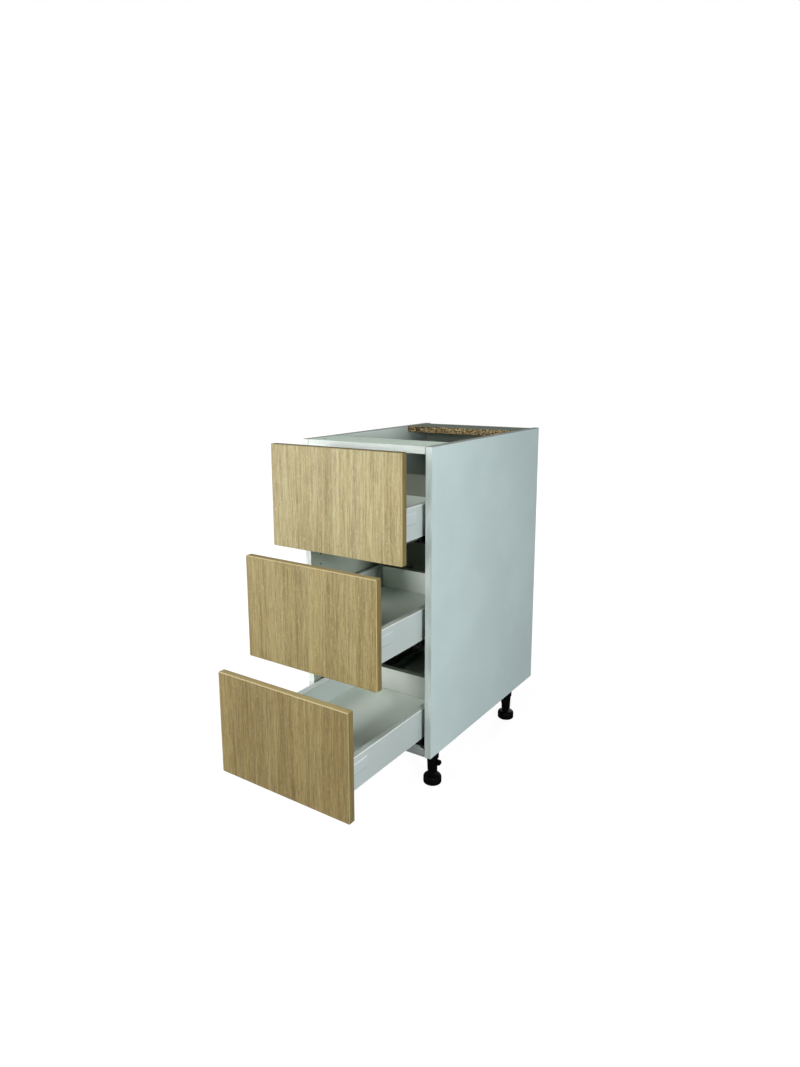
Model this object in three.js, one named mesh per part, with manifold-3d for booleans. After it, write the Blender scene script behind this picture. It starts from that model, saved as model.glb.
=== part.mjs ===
// A kitchen base cabinet with three drawers on adjustable legs, stored with its drawers part open.
// Millimetres: X runs across the cabinet, Y from its front to its back, Z up.
// The origin lies on the floor, under the middle of the cabinet and its open drawers.
import * as THREE from 'three';
import { mergeVertices } from 'three/addons/utils/BufferGeometryUtils.js';
import Module from 'manifold-3d';

const wasm = await Module();
wasm.setup();

// Air between two pieces that are screwed, glued or pressed together.
const seam = 0.1;

// How far the middle of a facet lies inside the true round.
const facetDepth = 0.15;

// How far a cutting tool runs past the faces that it cuts through.
const cutMargin = 1;

// Carcass: melamine-faced chipboard.
const cabinetWidth = 350;
const cabinetHeight = 700;
const cabinetDepth = 550;
const boardThickness = 16;
const boardEdgeRadius = 0.8;
const railDepth = 100;
const backThickness = 3;
const backInset = 20;
const grooveDepth = 8;
const grooveClearance = 0.3;

// Bores for the connectors that pull the rails and the bottom panel to the sides.
const camRadius = 7.5;
const camDepth = 12.5;
const camFromEnd = 24;
const camFromEdge = 32;

// Spare pair of line bores in each side, at the usual distance from the front edge.
const lineBoreRadius = 2.5;
const lineBoreDepth = 10;
const lineBoreSetback = 37;
const lineBoreHeight = 394;
const lineBorePitch = 25;

// How far each drawer stands open.
const bottomOpening = 277;
const middleOpening = 182;
const topOpening = 92;

// Drawer fronts.
const frontThickness = 16;
const frontEdgeRadius = 1;
const frontCornerRadius = 2.2;
const frontSideReveal = 2;
const frontEndReveal = 1;
const frontGap = 4;
const frontStandoff = 2;

// Drawer side: one folded steel sheet with an outer wall, a top, a leaning inner wall and a ledge
// for the base.
const drawerSideGap = 13;
const drawerSideLift = 37;
const drawerSideHeight = 70;
const drawerSideTopWidth = 15;
const drawerSideFootWidth = 27;
const sheetThickness = 1.2;
const sheetFoldRadius = 1.8;
const ledgeRise = 3;
const ledgeDepth = 19;
const rearTabThickness = 1.5;
const rearTabReach = 16;
const rearTabDrop = 3;

// Drawer base and back board.
const baseThickness = 16;
const backBoardThickness = 16;
const backBoardRise = 6;
const backBoardSetback = 24;
const boxClearance = 0.4;

// Fittings that join a front to its drawer sides, and the caps over their adjusting screws.
const bracketThickness = 2;
const bracketLength = 64;
const bracketHeight = 34;
const bracketFlange = 11;
const bracketRise = 28;
const bracketHoleRadius = 3;
const bracketHoleShares = [0.4, 0.8];
const capLength = 78;
const capHeight = 26;
const capRise = 33;
const capThickness = 1.2;
const capEdge = 0.4;
const capCornerRadius = 2;

// Full-extension runner: a cabinet member, a middle member on rollers and a drawer member, nested in the
// drawer side.
const runnerLength = 450;
const runnerSetback = 3;
const runnerSteel = 1.2;
const runnerFlangeHeight = 38;
const runnerDrop = 14;
const channelWidth = 13;
const channelHeight = 17;
const channelClearance = 1.2;
const channelSlot = 4.4;
const memberGap = 2.4;
const middleShortening = 20;
const webThickness = 1.6;
const stiffenerThickness = 1.2;
const rollerPlay = 0.4;
const rollerAxleMargin = 1.5;
const rollerFirst = 0.04;
const rollerSecond = 0.4;
const fixingHoleRadius = 3;
const fixingHoleSpan = 224;

// Legs.
const legHeight = 100;
const legSideInset = 35;
const legFrontSetback = 68;
const legRearSetback = 86;
const legPlateSize = 52;
const legPlateThickness = 4;
const legPlateCorner = 8;
const legScrewInset = 7;
const legScrewRadius = 2.2;
const legSleeveRadius = 15;
const legSleeveLength = 32;
const legTubeRadius = 13;
const legTubeTaper = 1.6;
const legTubeClearance = 28;
const legTubeRim = 1;
const legTubeRimHeight = 2;
const legGussetThickness = 2.4;
const legGussetRoot = 1;
const legGussetReach = 9;
const legGussetHeight = 16;
const lugHeight = 11;
const lugCorner = 3.5;
const lugWidth = 9;
const lugReach = 9;
const lugLevel = 49;
const stemRadius = 8;
const stemClearance = 0.4;
const stemLength = 54;
const stemTip = 1;
const boreHeadroom = 8;
const footRadius = 21.5;
const footHeight = 21;
const footEdge = 4;
const footShoulder = 6.5;
const footNeck = 1.5;

// Drawers, from the lowest up.
const drawers = [
  { name: 'bottom', opening: bottomOpening },
  { name: 'middle', opening: middleOpening },
  { name: 'top', opening: topOpening },
];

// The two sides of the cabinet, and which way each lies from its middle.
const hands = [['left', -1], ['right', 1]];

// Sizes that follow.
const innerHalf = cabinetWidth / 2 - boardThickness;
const backFront = cabinetDepth - backInset - backThickness;
const frontWidth = cabinetWidth - 2 * frontSideReveal;
const frontsTotal = cabinetHeight - 2 * frontEndReveal - (drawers.length - 1) * frontGap;
const frontHeight = frontsTotal / drawers.length;
const sideWall = drawerSideGap + sheetThickness;
const sideFoot = drawerSideGap + drawerSideFootWidth;
const boxHalf = innerHalf - sideFoot - boxClearance;
const channelStart = sideWall + channelClearance;
const channelMiddle = channelStart + channelWidth / 2;
const channelBore = channelHeight - 2 * runnerSteel;
const upperChannelBase = channelHeight - runnerDrop + memberGap;
const rollerRadius = channelBore / 2 - rollerPlay;
const widestOpening = Math.max(...drawers.map((drawer) => drawer.opening));
const frontReach = widestOpening + frontStandoff + frontThickness;
const originY = (cabinetDepth - frontReach) / 2;

// Finishes: base colour, roughness and metalness.
const finishes = {
  melamine: { color: 0xdde5e3, roughness: 0.45, metalness: 0 },
  chipboard: { color: 0xdde5e3, roughness: 0.5, metalness: 0 },
  hardboard: { color: 0x9aa09b, roughness: 0.6, metalness: 0 },
  oak: { color: 0xbfab78, roughness: 0.55, metalness: 0 },
  whiteSteel: { color: 0xdfe6e6, roughness: 0.38, metalness: 0 },
  whitePlastic: { color: 0xe2e8e7, roughness: 0.4, metalness: 0 },
  runnerSteel: { color: 0x24282a, roughness: 0.4, metalness: 0.6 },
  bracketSteel: { color: 0xa9adae, roughness: 0.35, metalness: 0.9 },
  blackPlastic: { color: 0x101112, roughness: 0.42, metalness: 0 },
};

// A geometry as a solid that can be joined and cut.
function solidOf(geometry) {
  const bare = geometry.clone();
  bare.deleteAttribute('normal');
  bare.deleteAttribute('uv');
  const merged = mergeVertices(bare, 1e-4);
  return new wasm.Manifold(new wasm.Mesh({
    numProp: 3,
    vertProperties: merged.attributes.position.array,
    triVerts: new Uint32Array(merged.index.array),
  }));
}

function geometryOf(solid) {
  const { vertProperties, triVerts } = solid.getMesh();
  const geometry = new THREE.BufferGeometry();
  geometry.setAttribute('position', new THREE.BufferAttribute(vertProperties, 3));
  geometry.setIndex(new THREE.BufferAttribute(triVerts, 1));
  geometry.computeVertexNormals();
  return geometry;
}

function cut(body, tools) {
  return geometryOf(tools.reduce((left, tool) => left.subtract(solidOf(tool)), solidOf(body)));
}

function join(pieces) {
  return geometryOf(pieces.map(solidOf).reduce((sum, solid) => sum.add(solid)));
}

// A box between two corners.
function block([x0, y0, z0], [x1, y1, z1]) {
  const box = new THREE.BoxGeometry(x1 - x0, y1 - y0, z1 - z0);
  return box.translate((x0 + x1) / 2, (y0 + y1) / 2, (z0 + z1) / 2);
}

// A board between two corners, with softly rounded edges all round. Its thickness runs along the named axis.
function board([x0, y0, z0], [x1, y1, z1], axis, radius, cornerRadius = radius) {
  const size = {
    x: [x1 - x0, z1 - z0, y1 - y0],
    y: [y1 - y0, x1 - x0, z1 - z0],
    z: [z1 - z0, x1 - x0, y1 - y0],
  };
  const [thickness, across, along] = size[axis];
  const face = roundedRectangle(across - 2 * radius, along - 2 * radius, cornerRadius - radius);
  const slab = new THREE.ExtrudeGeometry(face, {
    depth: thickness - 2 * radius,
    bevelThickness: radius,
    bevelSize: radius,
    bevelSegments: 2,
    curveSegments: 2,
  });
  slab.translate(0, 0, radius - thickness / 2);
  if (axis === 'x') slab.rotateY(Math.PI / 2);
  if (axis === 'y') slab.rotateX(Math.PI / 2);
  return slab.translate((x0 + x1) / 2, (y0 + y1) / 2, (z0 + z1) / 2);
}

// An outline in X and Z, drawn out along Y from one place to another.
function drawnOut(outline, from, to) {
  const geometry = new THREE.ExtrudeGeometry(new THREE.Shape(outline), {
    depth: to - from,
    bevelEnabled: false,
  });
  return geometry.rotateX(Math.PI / 2).translate(0, to, 0);
}

// The even number of sides that keeps the facets of a round within their depth.
function sidesOf(radius) {
  return 2 * Math.ceil(Math.PI / 2 / Math.acos(1 - facetDepth / radius));
}

// A round pin along an axis, centred on a point.
function pin(radius, length, axis, [x, y, z]) {
  const cylinder = new THREE.CylinderGeometry(radius, radius, length, sidesOf(radius));
  if (axis === 'x') cylinder.rotateZ(Math.PI / 2);
  if (axis === 'z') cylinder.rotateX(Math.PI / 2);
  return cylinder.translate(x, y, z);
}

// A profile of radius and height turned about Z.
function turned(profile) {
  const points = profile.map(([radius, height]) => new THREE.Vector2(radius, height));
  const widest = Math.max(...profile.map(([radius]) => radius));
  return new THREE.LatheGeometry(points, sidesOf(widest)).rotateX(Math.PI / 2);
}

// Points of a quarter turn about a centre of radius and height, from one angle to the next.
function quarterTurn([radius, height], reach, start, steps = 3) {
  return Array.from({ length: steps + 1 }, (_, step) => {
    const angle = start + (step / steps) * (Math.PI / 2);
    return [radius + reach * Math.cos(angle), height + reach * Math.sin(angle)];
  });
}

// A line of corners, each given as a place and, where it is rounded, a radius.
function roundedLine(corners, steps = 3) {
  const points = corners.map(([x, y]) => new THREE.Vector2(x, y));
  return points.flatMap((corner, i) => {
    const radius = corners[i][2];
    if (!radius) return [corner];
    const before = corner.clone().add(points[i - 1].clone().sub(corner).setLength(radius));
    const after = corner.clone().add(points[i + 1].clone().sub(corner).setLength(radius));
    return new THREE.QuadraticBezierCurve(before, corner, after).getPoints(steps);
  });
}

// The outline of a folded sheet: the line of one face, and the same line moved over by the thickness.
function foldedSheet(line, thickness) {
  const normals = line.slice(1).map((point, i) => {
    const along = point.clone().sub(line[i]).normalize();
    return new THREE.Vector2(-along.y, along.x);
  });
  const moved = line.map((point, i) => {
    const before = normals[Math.max(i - 1, 0)];
    const after = normals[Math.min(i, normals.length - 1)];
    const mitre = before.clone().add(after).normalize();
    return point.clone().addScaledVector(mitre, thickness / mitre.dot(after));
  });
  return [...line, ...moved.reverse()];
}

// A section given by its distance from the cabinet side and its height, placed at the left (-1) or right (1).
function atSide(section, hand) {
  return section.map((point) => {
    const [inward, height] = Array.isArray(point) ? point : [point.x, point.y];
    return new THREE.Vector2(hand * (innerHalf - inward), height);
  });
}

// A rectangle about the origin, with its corners rounded unless the radius is nought.
function roundedRectangle(width, height, radius) {
  const [x, y] = [width / 2, height / 2];
  const corners = [[-x, -y], [x, -y], [x, y], [-x, y]];
  if (radius === 0) return new THREE.Shape(corners.map((corner) => new THREE.Vector2(...corner)));
  const shape = new THREE.Shape();
  shape.moveTo(radius - x, -y);
  shape.lineTo(x - radius, -y);
  shape.absarc(x - radius, radius - y, radius, -Math.PI / 2, 0);
  shape.lineTo(x, y - radius);
  shape.absarc(x - radius, y - radius, radius, 0, Math.PI / 2);
  shape.lineTo(radius - x, y);
  shape.absarc(radius - x, y - radius, radius, Math.PI / 2, Math.PI);
  shape.lineTo(-x, radius - y);
  shape.absarc(radius - x, radius - y, radius, Math.PI, 1.5 * Math.PI);
  return shape;
}

function addPiece(parent, name, geometry, finish) {
  const mesh = new THREE.Mesh(geometry, new THREE.MeshStandardMaterial(finishes[finish]));
  mesh.name = name;
  parent.add(mesh);
  return mesh;
}

// Height of the lower edge of a drawer's front above the cabinet's underside.
function levelOf(index) {
  return frontEndReveal + index * (frontHeight + frontGap);
}

// Carcass side, grooved for the back panel, with its spare line bores.
function carcassSide(hand) {
  const outer = hand * cabinetWidth / 2;
  const inner = hand * innerHalf;
  const [low, high] = [Math.min(outer, inner), Math.max(outer, inner)];
  const panel = board([low, 0, 0], [high, cabinetDepth, cabinetHeight], 'x', boardEdgeRadius);
  const grooveEnds = [inner - hand * cutMargin, inner + hand * grooveDepth].sort((a, b) => a - b);
  const groove = block(
    [grooveEnds[0], backFront - grooveClearance, -cutMargin],
    [grooveEnds[1], backFront + backThickness + grooveClearance, cabinetHeight + cutMargin],
  );
  const bores = [0, 1].map((step) => pin(lineBoreRadius, 2 * lineBoreDepth, 'x', [
    inner,
    lineBoreSetback,
    lineBoreHeight + step * lineBorePitch,
  ]));
  return cut(panel, [groove, ...bores]);
}

// A board between the sides, with connector bores near its ends, open on its upper or lower face.
function boredBoard(frontY, rearY, low, camRows, boresUp) {
  const half = innerHalf - seam;
  const high = low + boardThickness;
  const panel = board([-half, frontY, low], [half, rearY, high], 'z', boardEdgeRadius);
  const face = boresUp ? high : low;
  const bores = [-1, 1].flatMap((hand) => camRows.map((y) => (
    pin(camRadius, 2 * camDepth, 'z', [hand * (innerHalf - camFromEnd), y, face])
  )));
  return cut(panel, bores);
}

function buildCarcass() {
  const carcass = new THREE.Group();
  const rearEdge = backFront - seam;
  const railLow = cabinetHeight - boardThickness;
  for (const [side, hand] of hands) {
    addPiece(carcass, `side_${side}`, carcassSide(hand), 'melamine');
  }
  const floorRows = [camFromEdge, rearEdge - camFromEdge];
  addPiece(carcass, 'bottom_panel', boredBoard(0, rearEdge, 0, floorRows, false), 'melamine');
  const frontRail = boredBoard(0, railDepth, railLow, [camFromEdge], true);
  addPiece(carcass, 'front_rail', frontRail, 'melamine');
  const rearRail = boredBoard(rearEdge - railDepth, rearEdge, railLow, [rearEdge - camFromEdge], true);
  addPiece(carcass, 'rear_rail', rearRail, 'chipboard');
  const backHalf = innerHalf + grooveDepth - grooveClearance;
  const back = block([-backHalf, backFront, 0], [backHalf, backFront + backThickness, cabinetHeight]);
  addPiece(carcass, 'back_panel', back, 'hardboard');
  return carcass;
}

// Folded drawer side: outer wall, top, inner wall leaning out to the base, and the ledge under the base.
function drawerSide(hand) {
  const sheetLine = roundedLine([
    [drawerSideGap, 0],
    [drawerSideGap, drawerSideHeight, sheetFoldRadius],
    [drawerSideGap + drawerSideTopWidth, drawerSideHeight, sheetFoldRadius],
    [sideFoot, ledgeRise + baseThickness],
    [sideFoot, ledgeRise],
    [sideFoot + ledgeDepth, ledgeRise],
  ]);
  const sheet = drawnOut(atSide(foldedSheet(sheetLine, -sheetThickness), hand), seam, runnerLength);
  const tabY = runnerLength - backBoardSetback + backBoardThickness + seam;
  const tabOutline = [
    [drawerSideGap + drawerSideTopWidth - sheetThickness, drawerSideHeight - rearTabDrop],
    [sideFoot - sheetThickness, ledgeRise + baseThickness],
    [sideFoot - sheetThickness, ledgeRise],
    [sideFoot + rearTabReach, ledgeRise],
    [sideFoot + rearTabReach, drawerSideHeight - rearTabDrop],
  ];
  const tab = drawnOut(atSide(tabOutline, hand), tabY, tabY + rearTabThickness);
  return join([sheet, tab]);
}

// Angled fitting in the hollow of the drawer side: a flange on the front and a tongue along the outer wall.
function frontBracket(hand) {
  const low = bracketRise;
  const high = bracketRise + bracketHeight;
  const wall = innerHalf - sideWall - seam;
  const corner = (inward, y) => new THREE.Vector2(hand * (wall - inward), -y);
  const plan = new THREE.Shape([
    corner(0, seam),
    corner(bracketFlange, seam),
    corner(bracketFlange, seam + bracketThickness),
    corner(bracketThickness, seam + bracketThickness),
    corner(bracketThickness, bracketLength),
    corner(0, bracketLength),
  ]);
  const angle = new THREE.ExtrudeGeometry(plan, { depth: high - low, bevelEnabled: false });
  angle.rotateX(Math.PI).translate(0, 0, high);
  const reach = bracketThickness + 2 * cutMargin;
  const holes = bracketHoleShares.map((share) => pin(bracketHoleRadius, reach, 'x', [
    hand * (wall - bracketThickness / 2),
    share * bracketLength,
    (low + high) / 2,
  ]));
  return cut(angle, holes);
}

// Snap-on cap on the outer wall of the drawer side.
function sideCap(hand) {
  const face = roundedRectangle(capHeight, capLength, capCornerRadius);
  const plate = new THREE.ExtrudeGeometry(face, {
    depth: capThickness - 2 * capEdge,
    bevelThickness: capEdge,
    bevelSize: capEdge,
    bevelOffset: -capEdge,
    bevelSegments: 1,
    curveSegments: 3,
  });
  plate.translate(0, 0, capEdge - capThickness / 2).rotateY(Math.PI / 2);
  const x = hand * (innerHalf - drawerSideGap + seam + capThickness / 2);
  return plate.translate(x, seam + capLength / 2, capRise + capHeight / 2);
}

// Outline of a slotted channel: from one end of its closed face up the wall, in and out of the slot's two
// lips, and down to the other end of the closed face.
function channel(left, right, closed, open) {
  const steel = Math.sign(open - closed) * runnerSteel;
  const slot = [(left + right - channelSlot) / 2, (left + right + channelSlot) / 2];
  return [
    [left, closed],
    [left, open],
    [slot[0], open],
    [slot[0], open - steel],
    [left + runnerSteel, open - steel],
    [left + runnerSteel, closed + steel],
    [right - runnerSteel, closed + steel],
    [right - runnerSteel, open - steel],
    [slot[1], open - steel],
    [slot[1], open],
    [right, open],
    [right, closed],
  ];
}

// Inverted channel of the runner, fixed to the outer wall inside the drawer side.
function drawerMember(hand) {
  const left = sideWall + seam;
  const right = 2 * channelMiddle - left;
  const section = channel(left, right, upperChannelBase + channelHeight, upperChannelBase);
  return drawnOut(atSide(section, hand), seam, runnerLength);
}

// Cabinet member: a flange on the cabinet side and a channel that reaches in under the drawer side.
function cabinetMember(hand) {
  const low = -runnerDrop;
  const high = low + channelHeight;
  const flangeTop = low + runnerFlangeHeight;
  const [, ...walls] = channel(channelStart, channelStart + channelWidth, low, high);
  const section = [
    [seam, low],
    [seam, flangeTop],
    [runnerSteel, flangeTop],
    [runnerSteel, low + runnerSteel],
    [channelStart, low + runnerSteel],
    ...walls,
  ];
  const profile = drawnOut(atSide(section, hand), runnerSetback, runnerSetback + runnerLength);
  const holes = [0, 1].map((step) => pin(fixingHoleRadius, runnerSteel + 2 * cutMargin, 'x', [
    hand * (innerHalf - runnerSteel / 2),
    lineBoreSetback + step * fixingHoleSpan,
    (high + flangeTop) / 2,
  ]));
  return cut(profile, holes);
}

// Middle member: a web with a stiffener between the two channels, and its rollers.
// The rear rollers run in the cabinet member, and the front ones carry the drawer member.
function middleMember(hand) {
  const length = runnerLength - middleShortening;
  const start = runnerSetback + runnerSteel;
  const lowerCentre = channelHeight / 2 - runnerDrop;
  const upperCentre = upperChannelBase + channelHeight / 2;
  const stiffener = (lowerCentre + upperCentre) / 2;
  const halfSection = [
    [webThickness / 2, lowerCentre - rollerAxleMargin],
    [webThickness / 2, stiffener - stiffenerThickness / 2],
    [channelWidth / 2, stiffener - stiffenerThickness / 2],
    [channelWidth / 2, stiffener + stiffenerThickness / 2],
    [webThickness / 2, stiffener + stiffenerThickness / 2],
    [webThickness / 2, upperCentre + rollerAxleMargin],
  ];
  const near = halfSection.map(([reach, height]) => [channelMiddle - reach, height]);
  const far = halfSection.map(([reach, height]) => [channelMiddle + reach, height]);
  const web = drawnOut(atSide([...near, ...far.reverse()], hand), start, start + length);
  const rollerWidth = channelWidth - 2 * runnerSteel - 2 * rollerPlay;
  const x = hand * (innerHalf - channelMiddle);
  const rollers = [rollerFirst, rollerSecond].flatMap((share) => [
    pin(rollerRadius, rollerWidth, 'x', [x, start + share * length, upperCentre]),
    pin(rollerRadius, rollerWidth, 'x', [x, start + (1 - share) * length, lowerCentre]),
  ]);
  return join([web, ...rollers]);
}

// The runner's level is the lower edge of the drawer side.
function buildRunners(name, index, opening) {
  const runners = new THREE.Group();
  runners.position.z = levelOf(index) + drawerSideLift;
  for (const [side, hand] of hands) {
    addPiece(runners, `cabinet_runner_${side}_${name}`, cabinetMember(hand), 'runnerSteel');
    const middle = addPiece(runners, `middle_runner_${side}_${name}`, middleMember(hand), 'runnerSteel');
    middle.position.y = -opening / 2;
  }
  return runners;
}

function buildDrawer(name, index, opening) {
  const drawer = new THREE.Group();
  drawer.position.set(0, -frontStandoff - opening, levelOf(index));
  const half = frontWidth / 2;
  const front = board(
    [-half, -frontThickness, 0],
    [half, 0, frontHeight],
    'y',
    frontEdgeRadius,
    frontCornerRadius,
  );
  addPiece(drawer, `front_${name}`, front, 'oak');

  const box = new THREE.Group();
  box.position.z = drawerSideLift;
  drawer.add(box);
  for (const [side, hand] of hands) {
    addPiece(box, `drawer_side_${side}_${name}`, drawerSide(hand), 'whiteSteel');
    addPiece(box, `drawer_runner_${side}_${name}`, drawerMember(hand), 'runnerSteel');
    addPiece(box, `front_bracket_${side}_${name}`, frontBracket(hand), 'bracketSteel');
    addPiece(box, `side_cap_${side}_${name}`, sideCap(hand), 'whitePlastic');
  }
  const baseEnd = runnerLength - backBoardSetback;
  const baseLow = ledgeRise + seam;
  const base = block([-boxHalf, seam, baseLow], [boxHalf, baseEnd - seam, ledgeRise + baseThickness]);
  addPiece(box, `drawer_base_${name}`, base, 'melamine');
  const backBoard = board(
    [-boxHalf, baseEnd, baseLow],
    [boxHalf, baseEnd + backBoardThickness, drawerSideHeight + backBoardRise],
    'y',
    boardEdgeRadius,
  );
  addPiece(box, `drawer_back_${name}`, backBoard, 'melamine');
  return drawer;
}

// Leg body: screwed plate with gussets, sleeve and tapered tube, bored from below for the foot's stem.
function legBody() {
  const top = legHeight - seam;
  const plateLow = top - legPlateThickness;
  const plateMiddle = plateLow + legPlateThickness / 2;
  const plateShape = roundedRectangle(legPlateSize, legPlateSize, legPlateCorner);
  const plate = new THREE.ExtrudeGeometry(plateShape, {
    depth: legPlateThickness,
    bevelEnabled: false,
    curveSegments: 4,
  }).translate(0, 0, plateLow);
  const sleeveLow = plateLow - legSleeveLength;
  const tubeEnd = legTubeRadius - legTubeTaper;
  const barrel = turned([
    [0, legTubeClearance],
    [tubeEnd - legTubeRim, legTubeClearance],
    [tubeEnd, legTubeClearance + legTubeRimHeight],
    [legTubeRadius, sleeveLow - legTubeRimHeight],
    [legSleeveRadius, sleeveLow],
    [legSleeveRadius, plateMiddle],
    [0, plateMiddle],
  ]);
  const gussetShape = new THREE.Shape([
    new THREE.Vector2(legSleeveRadius - legGussetRoot, -legGussetHeight),
    new THREE.Vector2(legSleeveRadius + legGussetRoot, -legGussetHeight),
    new THREE.Vector2(legSleeveRadius + legGussetReach, legPlateThickness / 2),
    new THREE.Vector2(legSleeveRadius - legGussetRoot, legPlateThickness / 2),
  ]);
  const gussets = [1, 3, 5, 7].map((eighth) => {
    const gusset = new THREE.ExtrudeGeometry(gussetShape, { depth: legGussetThickness, bevelEnabled: false });
    gusset.translate(0, 0, -legGussetThickness / 2).rotateX(Math.PI / 2);
    return gusset.rotateZ(eighth * Math.PI / 4).translate(0, 0, plateLow);
  });
  const lugShape = roundedRectangle(2 * lugReach, lugHeight, lugCorner);
  const lug = new THREE.ExtrudeGeometry(lugShape, { depth: lugWidth, bevelEnabled: false, curveSegments: 3 });
  lug.translate(legTubeRadius, lugLevel + lugHeight / 2, -lugWidth / 2).rotateX(Math.PI / 2);
  const screwAt = legPlateSize / 2 - legScrewInset;
  const screws = [-1, 1].flatMap((sx) => [-1, 1].map((sy) => (
    pin(legScrewRadius, legPlateThickness + 2 * cutMargin, 'z', [sx * screwAt, sy * screwAt, plateMiddle])
  )));
  const boreHeight = footHeight + stemLength + boreHeadroom - legTubeClearance;
  const bore = pin(stemRadius + stemClearance, 2 * boreHeight, 'z', [0, 0, legTubeClearance]);
  return cut(join([plate, barrel, ...gussets, lug]), [...screws, bore]);
}

// Foot: a pad with a rounded lower edge and shoulder, on the stem that screws into the leg body.
function legFoot() {
  const stemTop = footHeight + stemLength;
  return turned([
    [0, 0],
    ...quarterTurn([footRadius - footEdge, footEdge], footEdge, -Math.PI / 2),
    ...quarterTurn([footRadius - footShoulder, footHeight - footShoulder], footShoulder, 0),
    [stemRadius + footNeck, footHeight],
    [stemRadius, footHeight + footNeck],
    [stemRadius, stemTop - stemTip],
    [stemRadius - stemTip, stemTop],
    [0, stemTop],
  ]);
}

function buildLegs() {
  const legs = new THREE.Group();
  const legX = cabinetWidth / 2 - legSideInset;
  const rows = [
    { row: 'front', y: legFrontSetback, lugTurns: { left: Math.PI, right: 0 } },
    { row: 'rear', y: cabinetDepth - legRearSetback, lugTurns: { left: -Math.PI / 2, right: -Math.PI / 2 } },
  ];
  for (const { row, y, lugTurns } of rows) {
    for (const [side, hand] of hands) {
      const leg = new THREE.Group();
      leg.position.set(hand * legX, y, -legHeight);
      addPiece(leg, `leg_${row}_${side}`, legBody().rotateZ(lugTurns[side]), 'blackPlastic');
      addPiece(leg, `foot_${row}_${side}`, legFoot(), 'blackPlastic');
      legs.add(leg);
    }
  }
  return legs;
}

const cabinet = new THREE.Group();
cabinet.position.set(0, -originY, legHeight);
cabinet.add(buildCarcass());
cabinet.add(buildLegs());
drawers.forEach(({ name, opening }, index) => {
  cabinet.add(buildRunners(name, index, opening));
  cabinet.add(buildDrawer(name, index, opening));
});

export default cabinet;
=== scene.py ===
"""Dresses the packed base cabinet: finer pieces, finishes, and the stage that it stands on.

Metres, in the packed frame: X across the cabinet, Y from its front to its back, Z up.
"""
import math

import bpy
import numpy as np
from bpy.props import FloatProperty, FloatVectorProperty, IntProperty, PointerProperty
from mathutils import Matrix, Vector


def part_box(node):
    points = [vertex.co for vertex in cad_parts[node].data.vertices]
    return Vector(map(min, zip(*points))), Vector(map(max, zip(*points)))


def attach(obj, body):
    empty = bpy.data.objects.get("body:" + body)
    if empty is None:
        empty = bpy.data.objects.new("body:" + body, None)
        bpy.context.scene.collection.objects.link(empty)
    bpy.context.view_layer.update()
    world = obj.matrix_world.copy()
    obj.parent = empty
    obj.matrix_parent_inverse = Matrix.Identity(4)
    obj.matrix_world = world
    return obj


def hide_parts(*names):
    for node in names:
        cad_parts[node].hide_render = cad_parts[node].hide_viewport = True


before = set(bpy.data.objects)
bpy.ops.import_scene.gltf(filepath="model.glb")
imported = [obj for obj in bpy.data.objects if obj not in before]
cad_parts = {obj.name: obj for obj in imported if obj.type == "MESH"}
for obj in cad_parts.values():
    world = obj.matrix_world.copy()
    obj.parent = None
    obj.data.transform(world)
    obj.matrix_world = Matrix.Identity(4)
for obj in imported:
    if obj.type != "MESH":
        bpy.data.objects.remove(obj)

bl_info = {
    "name": "Base cabinet with drawers",
    "version": (1, 0, 0),
    "blender": (4, 5, 0),
    "location": "3D View > Sidebar > Cabinet",
    "description": "Makes the pieces, finishes and stage of a base cabinet with three drawers",
    "category": "Object",
}

LEVELS = ("bottom", "middle", "top")
HANDS = {"left": -1, "right": 1}
ROWS = ("front", "rear")
AXES = {"x": 0, "y": 1, "z": 2}
# For each axis: which of two places in a plane and the depth across it become X, Y and Z
ORDERS = {"x": (2, 0, 1), "y": (0, 2, 1), "z": (0, 1, 2)}
# For each lamp: its title, watts, place in metres and width in millimetres
LAMPS = {
    "left": ("Left lamp", 76, (-1.7, -2.3, 1.0), 1200),
    "right": ("Right lamp", 42, (2.1, -1.42, 1.0), 400),
    "top": ("Top lamp", 12.5, (0.2, -0.95, 2.5), 900),
    "above": ("Upper lamp", 6, (1.3, -1.4, 2.3), 900),
    "rear": ("Rear lamp", 40, (-0.35, 2.6, 0.4), 800),
}
MILLIMETRE = 0.001
CHIP_SEED = 11
# How strongly the painted highlights on a drawer's caps show
CAP_SHINE = {"bottom": 1.0, "middle": 0.45, "top": 0.35}


def paint(red, green, blue):
    """A screen colour of 0 to 255 as the linear light that Blender mixes."""
    share = np.array([red, green, blue]) / 255
    return tuple(np.where(share <= 0.04045, share / 12.92, ((share + 0.055) / 1.055) ** 2.4))


def number(name, description, value, **limits):
    return FloatProperty(name=name, description=description, default=value, **limits)


def length(name, description, millimetres):
    value = millimetres * MILLIMETRE
    return number(name, description, value, min=0, precision=5, unit="LENGTH")


def power(name, description, watts):
    return number(name, description, watts, min=0, unit="POWER")


def count(name, description, value):
    return IntProperty(name=name, description=description, default=value, min=1)


def triple(name, description, values, **limits):
    return FloatVectorProperty(name=name, description=description, default=values, size=3, **limits)


def place(name, description, x, y, z):
    return triple(name, description, (x, y, z), subtype="TRANSLATION")


def colour(name, description, red, green, blue):
    return triple(name, description, paint(red, green, blue), min=0, max=1, subtype="COLOR")


# ---------------------------------------------------------------------------
# Sizes and colours that a user may change
# ---------------------------------------------------------------------------


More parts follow.
